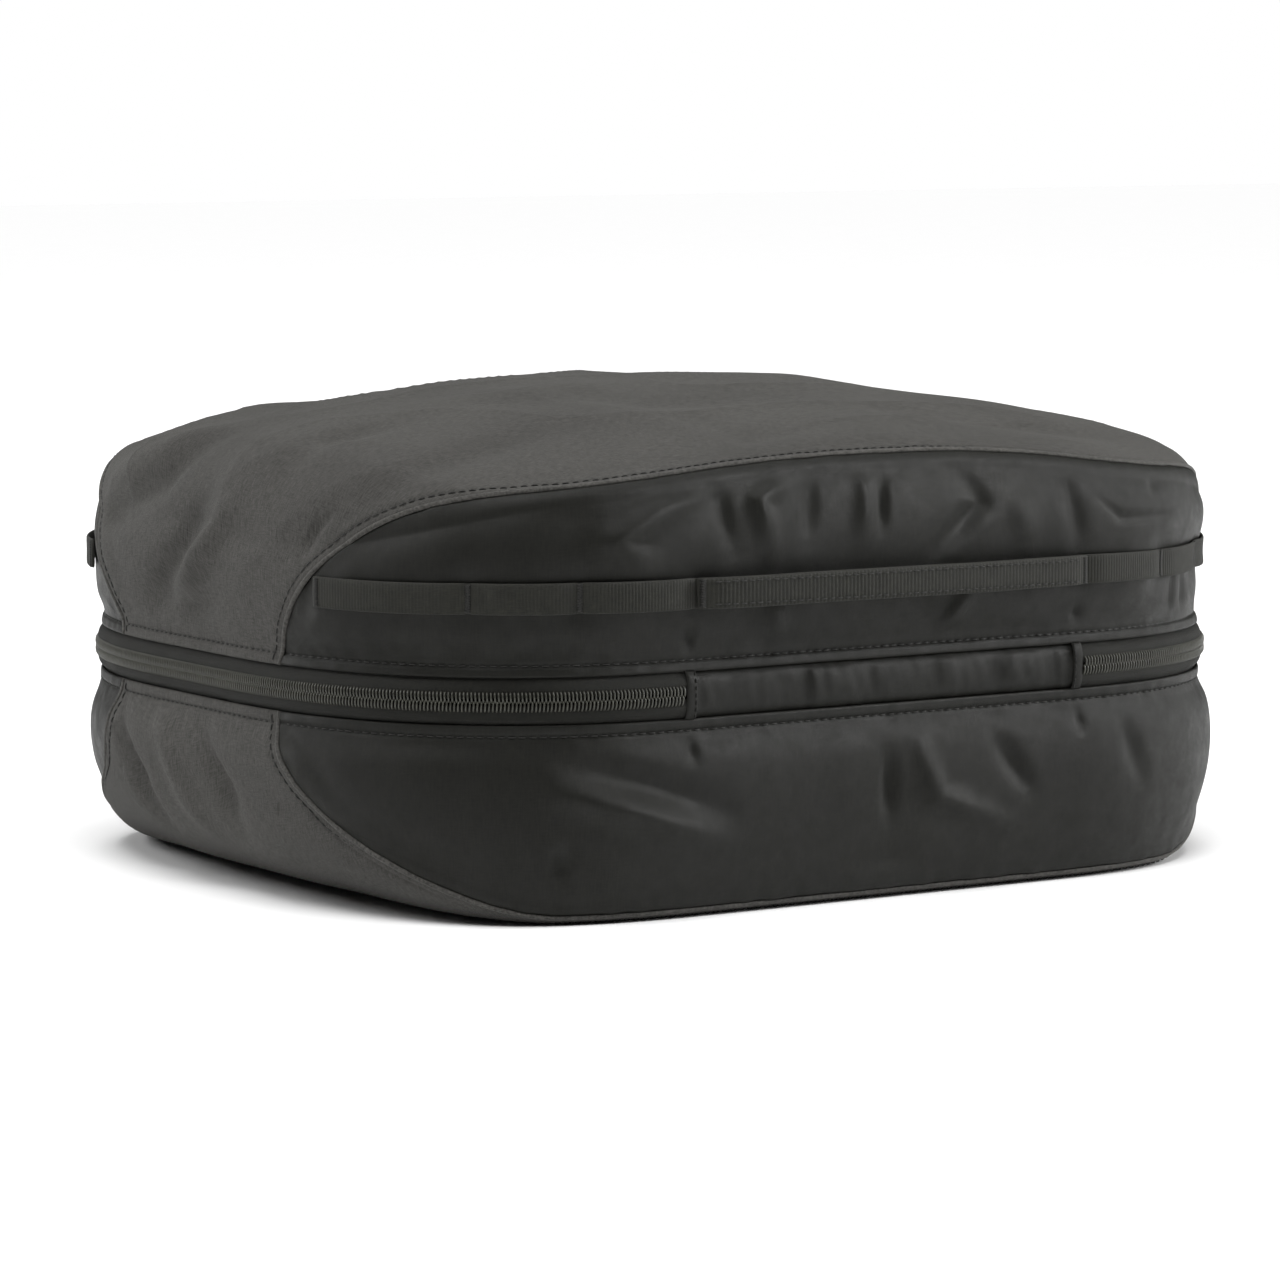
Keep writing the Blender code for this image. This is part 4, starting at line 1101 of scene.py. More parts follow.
def tooth_row(name, middle, outward, across, shift):
    """A coil's row of loops: each runs from the zip's centre line out over the tape."""
    path = middle[:, None] + across[:, None] * LOOP_REACH[None, :, None]
    path = path + outward[:, None] * LOOP_LIFT[None, :, None]
    along = unit(np.cross(outward, across))
    path = path + along[:, None] * (LOOP_LEAN * shift)[None, :, None]
    sides = np.broadcast_to(along[:, None], path.shape)
    tangent = unit(np.gradient(path, axis=1))
    ups = unit(np.cross(tangent, sides))
    radius = np.broadcast_to(LOOP_RADIUS, (len(middle), len(LOOP_RADIUS)))
    return add_tubes(name, path, sides, ups, radius, 6)


def add_zip_coil(name, sign, material):
    """One side of the zip's coil, its loops half a pitch off the other side's."""
    start = HINGE_HALF_SPAN + END_TAB_WIDTH / 2 + CLEAR
    count = int((PERIMETER - 2 * start) / TOOTH_PITCH)
    s = start + (np.arange(count) + (0.75 if sign > 0 else 0.25)) * TOOTH_PITCH
    middle = ribbon_points(s, np.array([[TOOTH_INSET, 0.0]]))[:, 0]
    outward = outward_at(s)
    across = np.broadcast_to(np.array([0.0, 0.0, float(sign)]), outward.shape)
    made = tooth_row(name, middle, outward, across, sign)
    return finish_piece(made, "lid" if sign > 0 else "base", "zip_coil", material, name)


def add_hinge(material):
    """The fabric strip between the two zip ends."""
    rows = 37
    profile = smooth_profile(HINGE_KNOTS, rows)
    gap = 0.0008
    s = np.linspace(-HINGE_HALF_SPAN + gap, HINGE_HALF_SPAN - gap, 240)
    points = ribbon_points(s, profile)
    outward = outward_at(s)
    rise = profile[:, 1]
    lean = np.repeat(s[:, None], rows, 1) + 0.15 * rise[None, :]
    across = rise[None, :] * np.ones_like(lean)
    wave = 0.0007 * noise(lean / 0.0085, across / 0.02, 0.0, 31)
    wave += 0.0003 * noise(lean / 0.0032, across / 0.008, 0.0, 32)
    calm = 1.0 - ramp(np.abs(rise), 0.005, 0.0085)
    points = points + outward[:, None, :] * (wave * (0.25 + 0.75 * calm)[None, :])[:, :, None]
    quads = grid_quads(len(s), rows)
    made = add_mesh("hinge_cloth", points.reshape(-1, 3), quads, band_uv(s, rise))
    thicken(made, HINGE_THICKNESS)
    return bend_piece(made, "panel_fabric", material, "hinge_panel")


def bend_piece(made, slot, material, *replaced):
    """A finished mesh with its material, on no body, standing for the imported nodes it replaces; its
    transform is baked into its points.
    """
    finish_piece(made, None, slot, material, *replaced)
    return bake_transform(made)


def add_end_tab(side, material, thread):
    """The folded tab that covers a zip end, with its line of stitches."""
    name = "zip_end_tab_right" if side > 0 else "zip_end_tab_left"
    turn = np.linspace(0.0, math.pi, 13)
    across = np.concatenate([[-1.0], -np.cos(turn)[1:-1], [1.0]]) * END_TAB_WIDTH / 2
    lift = np.sin(turn) * END_TAB_THICKNESS
    rise = np.linspace(-END_TAB_HALF, END_TAB_HALF, 28)
    inset = 0.0012 + 0.0016 * (rise / END_TAB_HALF) ** 4
    s = side * HINGE_HALF_SPAN + across
    base, normal = ring_position(s), ring_normal(s)
    plan = base[:, None] - normal[:, None] * (inset[None, :] - lift[:, None])[:, :, None]
    z = np.broadcast_to(ZIP_LEVEL + rise[None, :, None], plan.shape[:2] + (1,))
    points = np.concatenate([plan, z], 2)
    quads = grid_quads(len(s), len(rise))
    made = add_mesh(name + "_fold", points.reshape(-1, 3), quads, band_uv(s, rise))
    thicken(made, END_TAB_THICKNESS)
    bend_piece(made, "panel_fabric", material, name)
    line = points[9 if side < 0 else 3]
    normals = np.repeat(outward_at(np.array([side * HINGE_HALF_SPAN])), len(line), 0)
    sewn = stitches(name + "_stitches", line + normals * THREAD_LIFT, normals, 0.0022, 0.0015, 0.0002)
    return bend_piece(sewn, "webbing", thread)


# ------------------------------------------------------------------ webbing
def strap_bow(position, stops):
    """Stand-off of a strap between stitched stops: 0 at each stop, most over the middle span."""
    height = np.zeros(len(position))
    for low, high in zip(stops[:-1], stops[1:]):
        inside = (position >= low) & (position <= high)
        share = np.clip((position - low) / (high - low), 0.0, 1.0)
        rise = HANDLE_BOW if low == -high else LOOP_BOW
        height = np.where(inside, rise * np.sin(math.pi * share) ** BOW_POWER, height)
    return height


def wall_inset(s, rises):
    """Least inset of the lid's wall at some rises."""
    inset, table, _ = LID.profile(s)
    found = [[np.interp(r, table[k], inset[k]) for r in rises] for k in range(len(s))]
    return np.min(found, axis=1)


def strap_ring(thickness, rib):
    """Closed cross-section of a strap: (across, out) with soft edges; rib moves both faces."""
    half = WEBBING_WIDTH / 2
    across = np.array([-0.97, -0.86, -0.6, -0.3, 0.0, 0.3, 0.6, 0.86, 0.97, 1.0])
    face = np.array([0.5, 0.88, 1.0, 1.0, 1.0, 1.0, 1.0, 0.88, 0.5, 0.0])
    outer = np.stack([across * half, face * thickness / 2], 1)
    return np.concatenate([outer, -outer]), np.concatenate([face, -face]) * rib


def add_strap(name, front, reach, extra, thickness, pitch, rib, material):
    """A woven strap on the lid's wall, ribbed across and dented at every bartack; returns its
    middle line, the outward directions and the positions along it."""
    middle = middle_of(front)
    stops = [-STRAP_REACH] + [-b for b in reversed(BARTACKS)] + BARTACKS + [STRAP_REACH]
    count = int(2 * reach / pitch * 4)
    position = np.linspace(-reach, reach, count)
    coarse = np.linspace(-reach, reach, 120)
    half = WEBBING_WIDTH / 2
    rest = wall_inset(middle + coarse, [WEBBING_RISE - half, WEBBING_RISE, WEBBING_RISE + half])
    rest = np.interp(position, coarse, rest)
    tack = sum(np.exp(-((np.abs(position) - b) / 0.0011) ** 2) for b in BARTACKS)
    press = 0.0011 * sum(np.exp(-((np.abs(position) - b) / 0.005) ** 2) for b in BARTACKS)
    press += CORNER_PRESS * ramp(np.abs(position), BARTACKS[0], BARTACKS[1])
    stand = rest - CLEAR - thickness / 2 - extra - strap_bow(position, stops) + press
    plan = ring_position(middle + position) - stand[:, None] * ring_normal(middle + position)
    outward = outward_at(middle + position)
    spine = np.column_stack([plan, np.full(count, ZIP_LEVEL + WEBBING_RISE)])
    section, ribs = strap_ring(thickness * 0.92, rib)
    phase = np.cos(2 * math.pi * position / pitch)
    flat = 1.0 - 0.6 * tack
    out = section[None, :, 1] * flat[:, None] + ribs[None, :] * phase[:, None] * 0.5
    wobble = 0.00025 * noise(position / 0.03, 0.1, 0.0, 41 + front)
    rise = section[None, :, 0] * (1 - 0.03 * tack)[:, None] + wobble[:, None]
    points = spine[:, None] + outward[:, None] * out[:, :, None]
    points[:, :, 2] += rise
    rows = len(section)
    outer = section[:rows // 2, 0]
    uv = band_uv(position, np.concatenate([outer, outer + WEBBING_WIDTH]))
    made = add_mesh(name + "_weave", sag(points.reshape(-1, 3)), tube_faces(count, rows), uv)
    finish_piece(made, "lid", "webbing", material, name)
    return spine, outward, position


def tube_faces(count, rows):
    """Faces of a closed tube stored ring by ring, with both ends capped."""
    i = np.arange(count - 1)[:, None]
    k = np.arange(rows)[None, :]
    j = (k + 1) % rows
    quads = np.stack([i * rows + k, i * rows + j, (i + 1) * rows + j, (i + 1) * rows + k], -1)
    faces = quads.reshape(-1, 4)[:, ::-1].tolist()
    faces.append(list(range(rows)))
    faces.append(list(range(count * rows - 1, (count - 1) * rows - 1, -1)))
    return faces


# One thread of a bartack: places along it and how far it stands off the strap.
TACK_SHARES = np.array([-1.0, -0.9, -0.5, 0.0, 0.5, 0.9, 1.0])
TACK_RISES = np.array([-0.0006, 0.0, 0.00018, 0.00022, 0.00018, 0.0, -0.0006])
TACK_LEAN = 0.00018
TACK_RADIUS = 0.00021
TACK_THREADS = 22


def add_bartacks(name, strap, places, lift, material):
    """Dense zigzag blocks of thread that sew the strap to the wall."""
    spine, outward, position = strap
    steps = len(TACK_SHARES)
    paths, sides, ups = [], [], []
    for place in places:
        spot = take(spine, position, place)
        out = unit(take(outward, position, place))
        along = np.array([-out[1], out[0], 0.0])
        for k, z in enumerate(np.linspace(-BARTACK_REACH, BARTACK_REACH, TACK_THREADS)):
            lean = TACK_LEAN if k % 2 else -TACK_LEAN
            path = spot + along * (TACK_SHARES * BARTACK_HALF)[:, None]
            path = path + out * (lift + TACK_RISES)[:, None]
            path[:, 2] += z + lean * TACK_SHARES
            paths.append(path)
            sides.append(np.repeat(np.array([[0.0, 0.0, 1.0]]), steps, 0))
            ups.append(np.repeat(out[None], steps, 0))
    shape = np.array(paths)
    shape = sag(shape.reshape(-1, 3)).reshape(shape.shape)
    radius = np.full(shape.shape[:2], TACK_RADIUS)
    made = add_tubes(name, shape, np.array(sides), np.array(ups), radius, 6)
    return finish_piece(made, "lid", "webbing", material)


END_TACK_INSET = 0.0016      # bartacks stand this far in from a strap's ends
GRIP_TACK_INSET = 0.0012
EDGE_STITCH_RISE = 0.0036


def add_strap_set(front, materials):
    """The webbing of one side, the handle over its middle, and the threads that hold both."""
    side, web, thread = side_of(front), materials["webbing"], materials["thread"]
    face = WEBBING_THICKNESS / 2
    strap = add_strap(side + "_webbing", front, STRAP_REACH, 0.0, WEBBING_THICKNESS, 0.0011, 0.00016, web)
    loops = [p for b in BARTACKS[1:] for p in (-b, b)]
    loops += [-STRAP_REACH + END_TACK_INSET, STRAP_REACH - END_TACK_INSET]
    add_bartacks(side + "_bartacks", strap, loops, face, thread)
    extra = WEBBING_THICKNESS + CLEAR
    reach = BARTACKS[0] + 0.0003
    face = HANDLE_THICKNESS / 2
    strap = add_strap(side + "_handle", front, reach, extra, HANDLE_THICKNESS, 0.0014, 0.00022, web)
    ends = [-BARTACKS[0] + GRIP_TACK_INSET, BARTACKS[0] - GRIP_TACK_INSET]
    add_bartacks(side + "_handle_bartacks", strap, ends, face, thread)
    spine, outward, position = strap
    inner = np.abs(position) < BARTACKS[0] - 0.004
    for k, rise in enumerate((-EDGE_STITCH_RISE, EDGE_STITCH_RISE)):
        line = sag((spine + outward * (face + 0.00002) + np.array([0.0, 0.0, rise]))[inner])
        sewn = stitches(f"{side}_handle_stitches_{k}", line, outward[inner], 0.0030, 0.0021, 0.0002)
        finish_piece(sewn, "lid", "webbing", thread)


# ------------------------------------------------------------------ mesh divider
def divider_outline(side):
    """Outline of one mesh panel, counter-clockwise; side +1 is behind the zip, -1 in front."""
    s = np.arange(0.0, PERIMETER, 0.0022)
    edge = ring_position(s) - DIVIDER_INSET * ring_normal(s)
    limit = DIVIDER_ZIP_Y - side * DIVIDER_SLOT / 2
    keep = side * (limit - edge[:, 1]) > 0
    first = int(np.flatnonzero(keep & ~np.roll(keep, 1))[0])
    edge, keep = np.roll(edge, -first, axis=0), np.roll(keep, -first)
    curve = edge[keep]
    start, end = curve[0].copy(), curve[-1].copy()
    start[1] = limit
    end[1] = limit
    closing = np.linspace(end, start, int(abs(end[0] - start[0]) / 0.003))
    return np.vstack([curve, closing[:-1]])


def inward(outline, width):
    """The outline moved towards its inside."""
    before = unit(outline - np.roll(outline, 1, axis=0) + 1e-12)
    after = unit(np.roll(outline, -1, axis=0) - outline + 1e-12)
    normal = unit(np.stack([-(before + after)[:, 1], (before + after)[:, 0]], 1))
    spread = np.clip((normal * np.stack([-after[:, 1], after[:, 0]], 1)).sum(1), 0.5, 1.0)
    return outline + normal * (width / spread)[:, None]


def inside(points, outline):
    """Which points lie within a closed outline."""
    x, y = points.T
    result = np.zeros(len(points), bool)
    for (x0, y0), (x1, y1) in zip(outline, np.roll(outline, -1, axis=0)):
        if y0 == y1:
            continue
        crosses = (y0 > y) != (y1 > y)
        result ^= crosses & (x < x0 + (y - y0) / (y1 - y0) * (x1 - x0))
    return result


def add_net(name, side, material, node):
    """Open hexagonal netting: every cell is a ring of yarn around a hole."""
    outline = divider_outline(side)
    limit = inward(outline, NET_BORDER - NET_CELL * 0.6)
    rows = int(2 * HALF_DEPTH / (NET_CELL * NET_ROW)) + 2
    columns = int(2 * HALF_LENGTH / NET_CELL) + 2
    cells = [(c + 0.5 * (r % 2), r * NET_ROW) for r in range(rows) for c in range(columns)]
    centres = np.array(cells) * NET_CELL
    centres = centres - np.array([columns * NET_CELL, rows * NET_CELL * NET_ROW]) / 2
    centres = centres[inside(centres, limit)]
    turn = np.arange(6) * math.pi / 3 + math.pi / 6
    ring = np.stack([np.cos(turn), np.sin(turn)], 1) * NET_CELL / math.sqrt(3)
    outer = centres[:, None] + ring
    inner = centres[:, None] + ring * (1 - NET_YARN / NET_CELL)
    plan = np.concatenate([outer, inner], 1).reshape(-1, 2)
    k = np.arange(6)
    quads = np.stack([k, (k + 1) % 6, (k + 1) % 6 + 6, k + 6], 1)
    faces = (quads[None] + np.arange(len(centres))[:, None, None] * 12).reshape(-1, 4)
    points = np.column_stack([plan, DIVIDER_LEVEL + net_sag(plan)])
    made = add_mesh(name, points, faces, plan)
    weld = made.modifiers.new("joined cells", "WELD")
    weld.merge_threshold = 0.00005
    thicken(made, NET_THICKNESS, 0.0)
    return finish_piece(made, "lid", "mesh", material, node)


def net_sag(plan):
    """The netting hangs a little in its middle."""
    x, y = plan.T
    return -0.0008 * np.exp(-(x / 0.12) ** 2 - (y / 0.09) ** 2)


def add_net_border(name, side, material):
    """The folded tape that edges a mesh panel, with its outer edge rounded."""
    outline = divider_outline(side)
    steps = np.array([0.0, 0.0002, 0.0008, NET_BORDER * 0.5, NET_BORDER - 0.0006, NET_BORDER])
    lift = np.array([0.0, 0.00035, 0.0005, 0.00052, 0.00048, 0.0001])
    rings = [inward(outline, w) for w in steps]
    top = [np.column_stack([r, np.full(len(r), DIVIDER_LEVEL + up)]) for r, up in zip(rings, lift)]
    under = [np.column_stack([r, np.full(len(r), DIVIDER_LEVEL - up)]) for r, up in zip(rings, lift)]
    loops = top + under[:0:-1]
    count, rows = len(outline), len(loops)
    points = np.stack(loops, 1).reshape(-1, 3)
    i = np.arange(count)[:, None]
    k = np.arange(rows)[None, :]
    j = (i + 1) % count
    m = (k + 1) % rows
    faces = np.stack([i * rows + k, j * rows + k, j * rows + m, i * rows + m], -1).reshape(-1, 4)
    made = add_mesh(name, points, faces, points[:, :2])
    finish_piece(made, "lid", "binding", material)
    line = inward(outline, NET_BORDER - 0.0016)
    line = np.vstack([line, line[:1]])
    for tag, way in (("over", 1.0), ("under", -1.0)):
        height = DIVIDER_LEVEL + way * 0.00056
        track = np.column_stack([line, np.full(len(line), height)])
        normals = np.repeat(np.array([[0.0, 0.0, way]]), len(track), 0)
        finish_piece(stitches(f"{name}_{tag}", track, normals), "lid", "webbing", material)


# Section of a divider tape: distance from the zip's middle and lift, with the row of stitches raised.
DIVIDER_TAPE_ACROSS = np.array([0.0010, 0.0022, 0.0032, 0.0036, 0.0050, 0.0056, 0.0080, 0.0106, 0.0110])
DIVIDER_TAPE_LIFT = np.array([0.0, 0.0, 0.00004, 0.00016, 0.00016, 0.00004, 0.0, 0.00006, 0.00010])
DIVIDER_COIL_DROP = 0.0007


def add_divider_tape(name, side, tape_top, material):
    """One tape of the divider's zip, a slightly wavy ribbon."""
    reach = DIVIDER_ZIP_HALF + DIVIDER_TAPE_OVERRUN
    x = np.linspace(-reach, reach, 320)
    wave = 0.00010 * noise(x / 0.02, 0.4, 0.0, 61)
    z = tape_top - TAPE_THICKNESS + DIVIDER_TAPE_LIFT[None, :] + wave[:, None] * 0.4
    y = DIVIDER_ZIP_Y + side * DIVIDER_TAPE_ACROSS[None, :]
    points = np.stack(np.broadcast_arrays(x[:, None], y, z), -1).reshape(-1, 3)
    quads = grid_quads(len(x), len(DIVIDER_TAPE_ACROSS), False, side > 0)
    made = add_mesh(f"divider_tape_{name}_weave", points, quads, band_uv(x, DIVIDER_TAPE_ACROSS))
    thicken(made, TAPE_THICKNESS * 0.8)
    finish_piece(made, "lid", "zip_tape", material, f"divider_tape_{name}")


def add_divider_coil(name, side, tape_top, material):
    """One coil of the divider's zip, on the underside of its tape."""
    count = int(2 * DIVIDER_ZIP_HALF / TOOTH_PITCH)
    place = -DIVIDER_ZIP_HALF + (np.arange(count) + (0.75 if side > 0 else 0.25)) * TOOTH_PITCH
    coil_z = tape_top - TAPE_THICKNESS - CLEAR - DIVIDER_COIL_DROP
    middle = np.column_stack([place, np.full(count, DIVIDER_ZIP_Y), np.full(count, coil_z)])
    outward = np.repeat(np.array([[0.0, 0.0, -1.0]]), count, 0)
    away = np.repeat(np.array([[0.0, side, 0.0]]), count, 0)
    row = tooth_row(f"divider_coil_{name}_teeth", middle, outward, away, side)
    finish_piece(row, "lid", "zip_coil", material, f"divider_coil_{name}")


def add_divider_zip(materials):
    """Tapes and coils of the zip that joins the two mesh panels; its face looks down."""
    tape_top = DIVIDER_LEVEL - DIVIDER_THICKNESS / 2 - CLEAR
    for name, side in (("rear", -1.0), ("front", 1.0)):
        add_divider_tape(name, side, tape_top, materials["tape"])
        add_divider_coil(name, side, tape_top, materials["coil"])


# ------------------------------------------------------------------ sliders and pulls
def dress_node(node, material, edge):
    """A carried-over metal or moulded part gets rounded edges and its material."""
    made = bpy.data.objects[node]
    made.data.materials.clear()
    made.data.materials.append(material)
    bevel = made.modifiers.new("rounded edges", "BEVEL")
    bevel.width = edge
    bevel.segments = 3
    bevel.limit_method = "ANGLE"
    bevel.angle_limit = math.radians(40)
    made.data.shade_smooth()
    smooth = made.modifiers.new("flat faces", "WEIGHTED_NORMAL")
    smooth.keep_sharp = True


# ------------------------------------------------------------------ materials
class Paint:
    """A node material with one Principled shader, built from small named steps."""

    def __init__(self, name, roughness, **shader_values):
        self.material = bpy.data.materials.new(name)
        self.material.use_nodes = True
        self.tree = self.material.node_tree
        self.shader = self.tree.nodes["Principled BSDF"]
        self.shader.inputs["Roughness"].default_value = roughness
        for socket, value in shader_values.items():
            self.shader.inputs[socket.replace("_", " ")].default_value = value

    def node(self, kind, **values):
        made = self.tree.nodes.new(kind)
        for key, value in values.items():
            setattr(made, key, value)
        return made

    def join(self, out, into):
        self.tree.links.new(out, into)

    def fabric_uv(self, across, along):
        """Fabric coordinates, scaled to a number of features a metre both ways."""
        source = self.node("ShaderNodeUVMap", uv_map="fabric")
        return self.scaled(source.outputs["UV"], (across, along, 1.0))

    def object_place(self, size):
        source = self.node("ShaderNodeTexCoord")
        return self.scaled(source.outputs["Object"], (size, size, size))

    def scaled(self, vector, scale):
        mapping = self.node("ShaderNodeMapping")
        mapping.inputs["Scale"].default_value = scale
        self.join(vector, mapping.inputs["Vector"])
        return mapping.outputs["Vector"]

    def speckle(self, vector, detail=2.0, roughness=0.6):
        made = self.node("ShaderNodeTexNoise")
        made.inputs["Scale"].default_value = 1.0
        made.inputs["Detail"].default_value = detail
        made.inputs["Roughness"].default_value = roughness
        self.join(vector, made.inputs["Vector"])
        return made.outputs["Fac"]

    def bands(self, vector, direction):
        """Sine bands, one a unit, along X or Y of the given coordinates."""
        made = self.node("ShaderNodeTexWave", wave_type="BANDS", wave_profile="SIN")
        made.bands_direction = direction
        made.inputs["Scale"].default_value = 1.0 / WAVE_UNIT
        self.join(vector, made.inputs["Vector"])
        return made.outputs["Fac"]

    def math(self, operation, a, b):
        made = self.node("ShaderNodeMath", operation=operation)
        for slot, value in zip(made.inputs, (a, b)):
            if isinstance(value, (int, float)):
                slot.default_value = value
            else:
                self.join(value, slot)
        return made.outputs["Value"]

    def ramp(self, value, *stops):
        """A colour ramp through (place, grey or colour) stops."""
        made = self.node("ShaderNodeValToRGB")
        elements = made.color_ramp.elements
        while len(elements) < len(stops):
            elements.new(0.5)
        for element, (place, colour) in zip(elements, stops):
            element.position = place
            rgb = (colour,) * 3 if isinstance(colour, (int, float)) else colour
            element.color = (*rgb, 1.0)
        self.join(value, made.inputs["Fac"])
        return made.outputs["Color"]

    def multiply(self, colour, tone):
        """One colour multiplied by another."""
        made = self.node("ShaderNodeMix", data_type="RGBA", blend_type="MULTIPLY")
        made.inputs["Factor"].default_value = 1.0
        for slot, value in (("A", colour), ("B", tone)):
            self.join(value, [i for i in made.inputs if i.name == slot and i.type == "RGBA"][0])
        return [o for o in made.outputs if o.type == "RGBA"][0]

    def bump(self, height, strength, distance, under=None):
        made = self.node("ShaderNodeBump")
        made.inputs["Strength"].default_value = strength
        made.inputs["Distance"].default_value = distance
        self.join(height, made.inputs["Height"])
        if under is not None:
            self.join(under, made.inputs["Normal"])
        return made.outputs["Normal"]

    def finish(self, colour, roughness=None, normal=None):
        self.join(colour, self.shader.inputs["Base Color"])
        if roughness is not None:
            self.join(roughness, self.shader.inputs["Roughness"])
        if normal is not None:
            self.join(normal, self.shader.inputs["Normal"])
        return self.material


WAVE_UNIT = 3.14159265358979 / 10.0      # a wave texture of scale 1 repeats every pi/10


def heather(paint, dark, light, warp_size, weft_size):
    """Yarn colours of a mixed weave: fine slubs both ways, longer along the warp."""
    warp = paint.speckle(paint.fabric_uv(warp_size, warp_size * 0.10), 3.0, 0.62)
    weft = paint.speckle(paint.fabric_uv(weft_size * 0.14, weft_size), 3.0, 0.62)
    both = paint.math("ADD", paint.math("MULTIPLY", warp, 0.58), paint.math("MULTIPLY", weft, 0.42))
    return paint.ramp(both, (0.36, dark), (0.64, light))


def weave_height(paint, pitch):
    """Height of a plain weave: warp and weft bulge alternately."""
    warp = paint.bands(paint.fabric_uv(1.0 / pitch, 1.0 / pitch), "X")
    weft = paint.bands(paint.fabric_uv(1.0 / pitch, 1.0 / pitch), "Y")
    return paint.math("MULTIPLY", warp, weft)


def cover_material():
    """Mid-grey polyester canvas of mixed yarns, matt with a little sheen."""
    paint = Paint("cover_canvas", 0.82, Sheen_Weight=0.06, Sheen_Roughness=0.45, Specular_IOR_Level=0.14)
    yarns = heather(paint, COVER_DARK, COVER_LIGHT, 2300.0, 2100.0)
    broad = paint.speckle(paint.object_place(14.0), 3.0, 0.5)
    tone = paint.ramp(broad, (0.3, 0.86), (0.7, 1.08))
    colour = paint.multiply(yarns, tone)
    fine = paint.speckle(paint.object_place(900.0), 2.0, 0.7)
    rough = paint.ramp(fine, (0.3, 0.72), (0.7, 0.92))
    grain = paint.bump(fine, 0.25, 0.00025)
    return paint.finish(colour, rough, paint.bump(weave_height(paint, 0.00055), 0.5, 0.00012, grain))


def panel_material():
    """Near-black coated nylon: smoother, with soft highlights and fine creases in the coating."""
    paint = Paint("panel_nylon", 0.5, Specular_IOR_Level=0.24)
    yarns = heather(paint, PANEL_DARK, PANEL_LIGHT, 1800.0, 1800.0)
    broad = paint.speckle(paint.object_place(22.0), 4.0, 0.55)
    colour = paint.multiply(yarns, paint.ramp(broad, (0.3, 0.85), (0.7, 1.15)))
    scuff = paint.speckle(paint.object_place(160.0), 4.0, 0.65)
    rough = paint.ramp(scuff, (0.3, 0.42), (0.7, 0.58))
    crinkle = paint.bump(scuff, 0.18, 0.0005)
    return paint.finish(colour, rough, paint.bump(weave_height(paint, 0.0004), 0.35, 0.00008, crinkle))


def bead_material():
    """The cover's canvas where it is rolled over the seam, rubbed a little lighter."""
    paint = Paint("bead_canvas", 0.75, Sheen_Weight=0.08, Sheen_Roughness=0.4, Specular_IOR_Level=0.22)
    fine = paint.speckle(paint.object_place(1100.0), 3.0, 0.6)
    worn = paint.speckle(paint.object_place(60.0), 3.0, 0.5)
    colour = paint.ramp(fine, (0.35, BEAD_DARK), (0.68, BEAD_LIGHT))
    colour = paint.multiply(colour, paint.ramp(worn, (0.35, 0.85), (0.7, 1.2)))
    return paint.finish(colour, paint.ramp(worn, (0.3, 0.66), (0.7, 0.84)), paint.bump(fine, 0.3, 0.0003))


def webbing_material():
    """Ribbed olive-black webbing with slightly shiny yarns."""
    paint = Paint("webbing_rib", 0.7, Sheen_Weight=0.05, Sheen_Roughness=0.35, Specular_IOR_Level=0.3)
    along = paint.speckle(paint.fabric_uv(350.0, 3600.0), 2.0, 0.6)
    mixed = paint.speckle(paint.object_place(240.0), 3.0, 0.6)
    colour = paint.ramp(along, (0.3, WEB_DARK), (0.72, WEB_LIGHT))
    colour = paint.multiply(colour, paint.ramp(mixed, (0.3, 0.82), (0.7, 1.18)))
    yarn = paint.bands(paint.fabric_uv(900.0, 2600.0), "Y")
    return paint.finish(colour, paint.ramp(along, (0.3, 0.6), (0.7, 0.8)), paint.bump(yarn, 0.45, 0.0001))


def tape_material():
    """Herringbone zip tape, dull olive-black, with painted shade in the rib grooves and painted highlights
    on the rib crests.
    """
    paint = Paint("zip_tape_twill", 0.8, Sheen_Weight=0.05, Sheen_Roughness=0.4, Specular_IOR_Level=0.25)
    slub = paint.speckle(paint.fabric_uv(1300.0, 420.0), 3.0, 0.65)
    ribs = paint.bands(paint.fabric_uv(1150.0, 1150.0), "X")
    colour = paint.ramp(slub, (0.32, TAPE_DARK), (0.7, TAPE_LIGHT))
    # painted shade and highlight: the colour follows the ribs' bump, darker in the grooves and lighter on
    # the crests
    colour = paint.multiply(colour, paint.ramp(ribs, (0.0, 0.72), (1.0, 1.15)))
    return paint.finish(colour, paint.ramp(slub, (0.3, 0.7), (0.7, 0.88)), paint.bump(ribs, 0.6, 0.00018))


def moulded_material(name, dark, light, rough, specular, metallic=0.0):
    """Slightly mottled plastic or lacquered metal, rubbed in patches spread at random."""
    paint = Paint(name, rough, Specular_IOR_Level=specular, Metallic=metallic)
    fine = paint.speckle(paint.object_place(2200.0), 3.0, 0.6)
    rubbed = paint.speckle(paint.object_place(420.0), 4.0, 0.6)
    colour = paint.ramp(rubbed, (0.3, dark), (0.72, light))
    low, high = rough - 0.10, rough + 0.10
    return paint.finish(colour, paint.ramp(rubbed, (0.3, low), (0.7, high)), paint.bump(fine, 0.12, 0.0001))


def yarn_material(name, dark, light):
    """Twisted sewing thread or knitted net yarn."""
    paint = Paint(name, 0.6, Sheen_Weight=0.05, Sheen_Roughness=0.4, Specular_IOR_Level=0.3)
    twist = paint.speckle(paint.object_place(3000.0), 2.0, 0.6)
    colour = paint.ramp(twist, (0.32, dark), (0.7, light))
    return paint.finish(colour, paint.ramp(twist, (0.3, 0.5), (0.7, 0.72)), paint.bump(twist, 0.4, 0.0001))


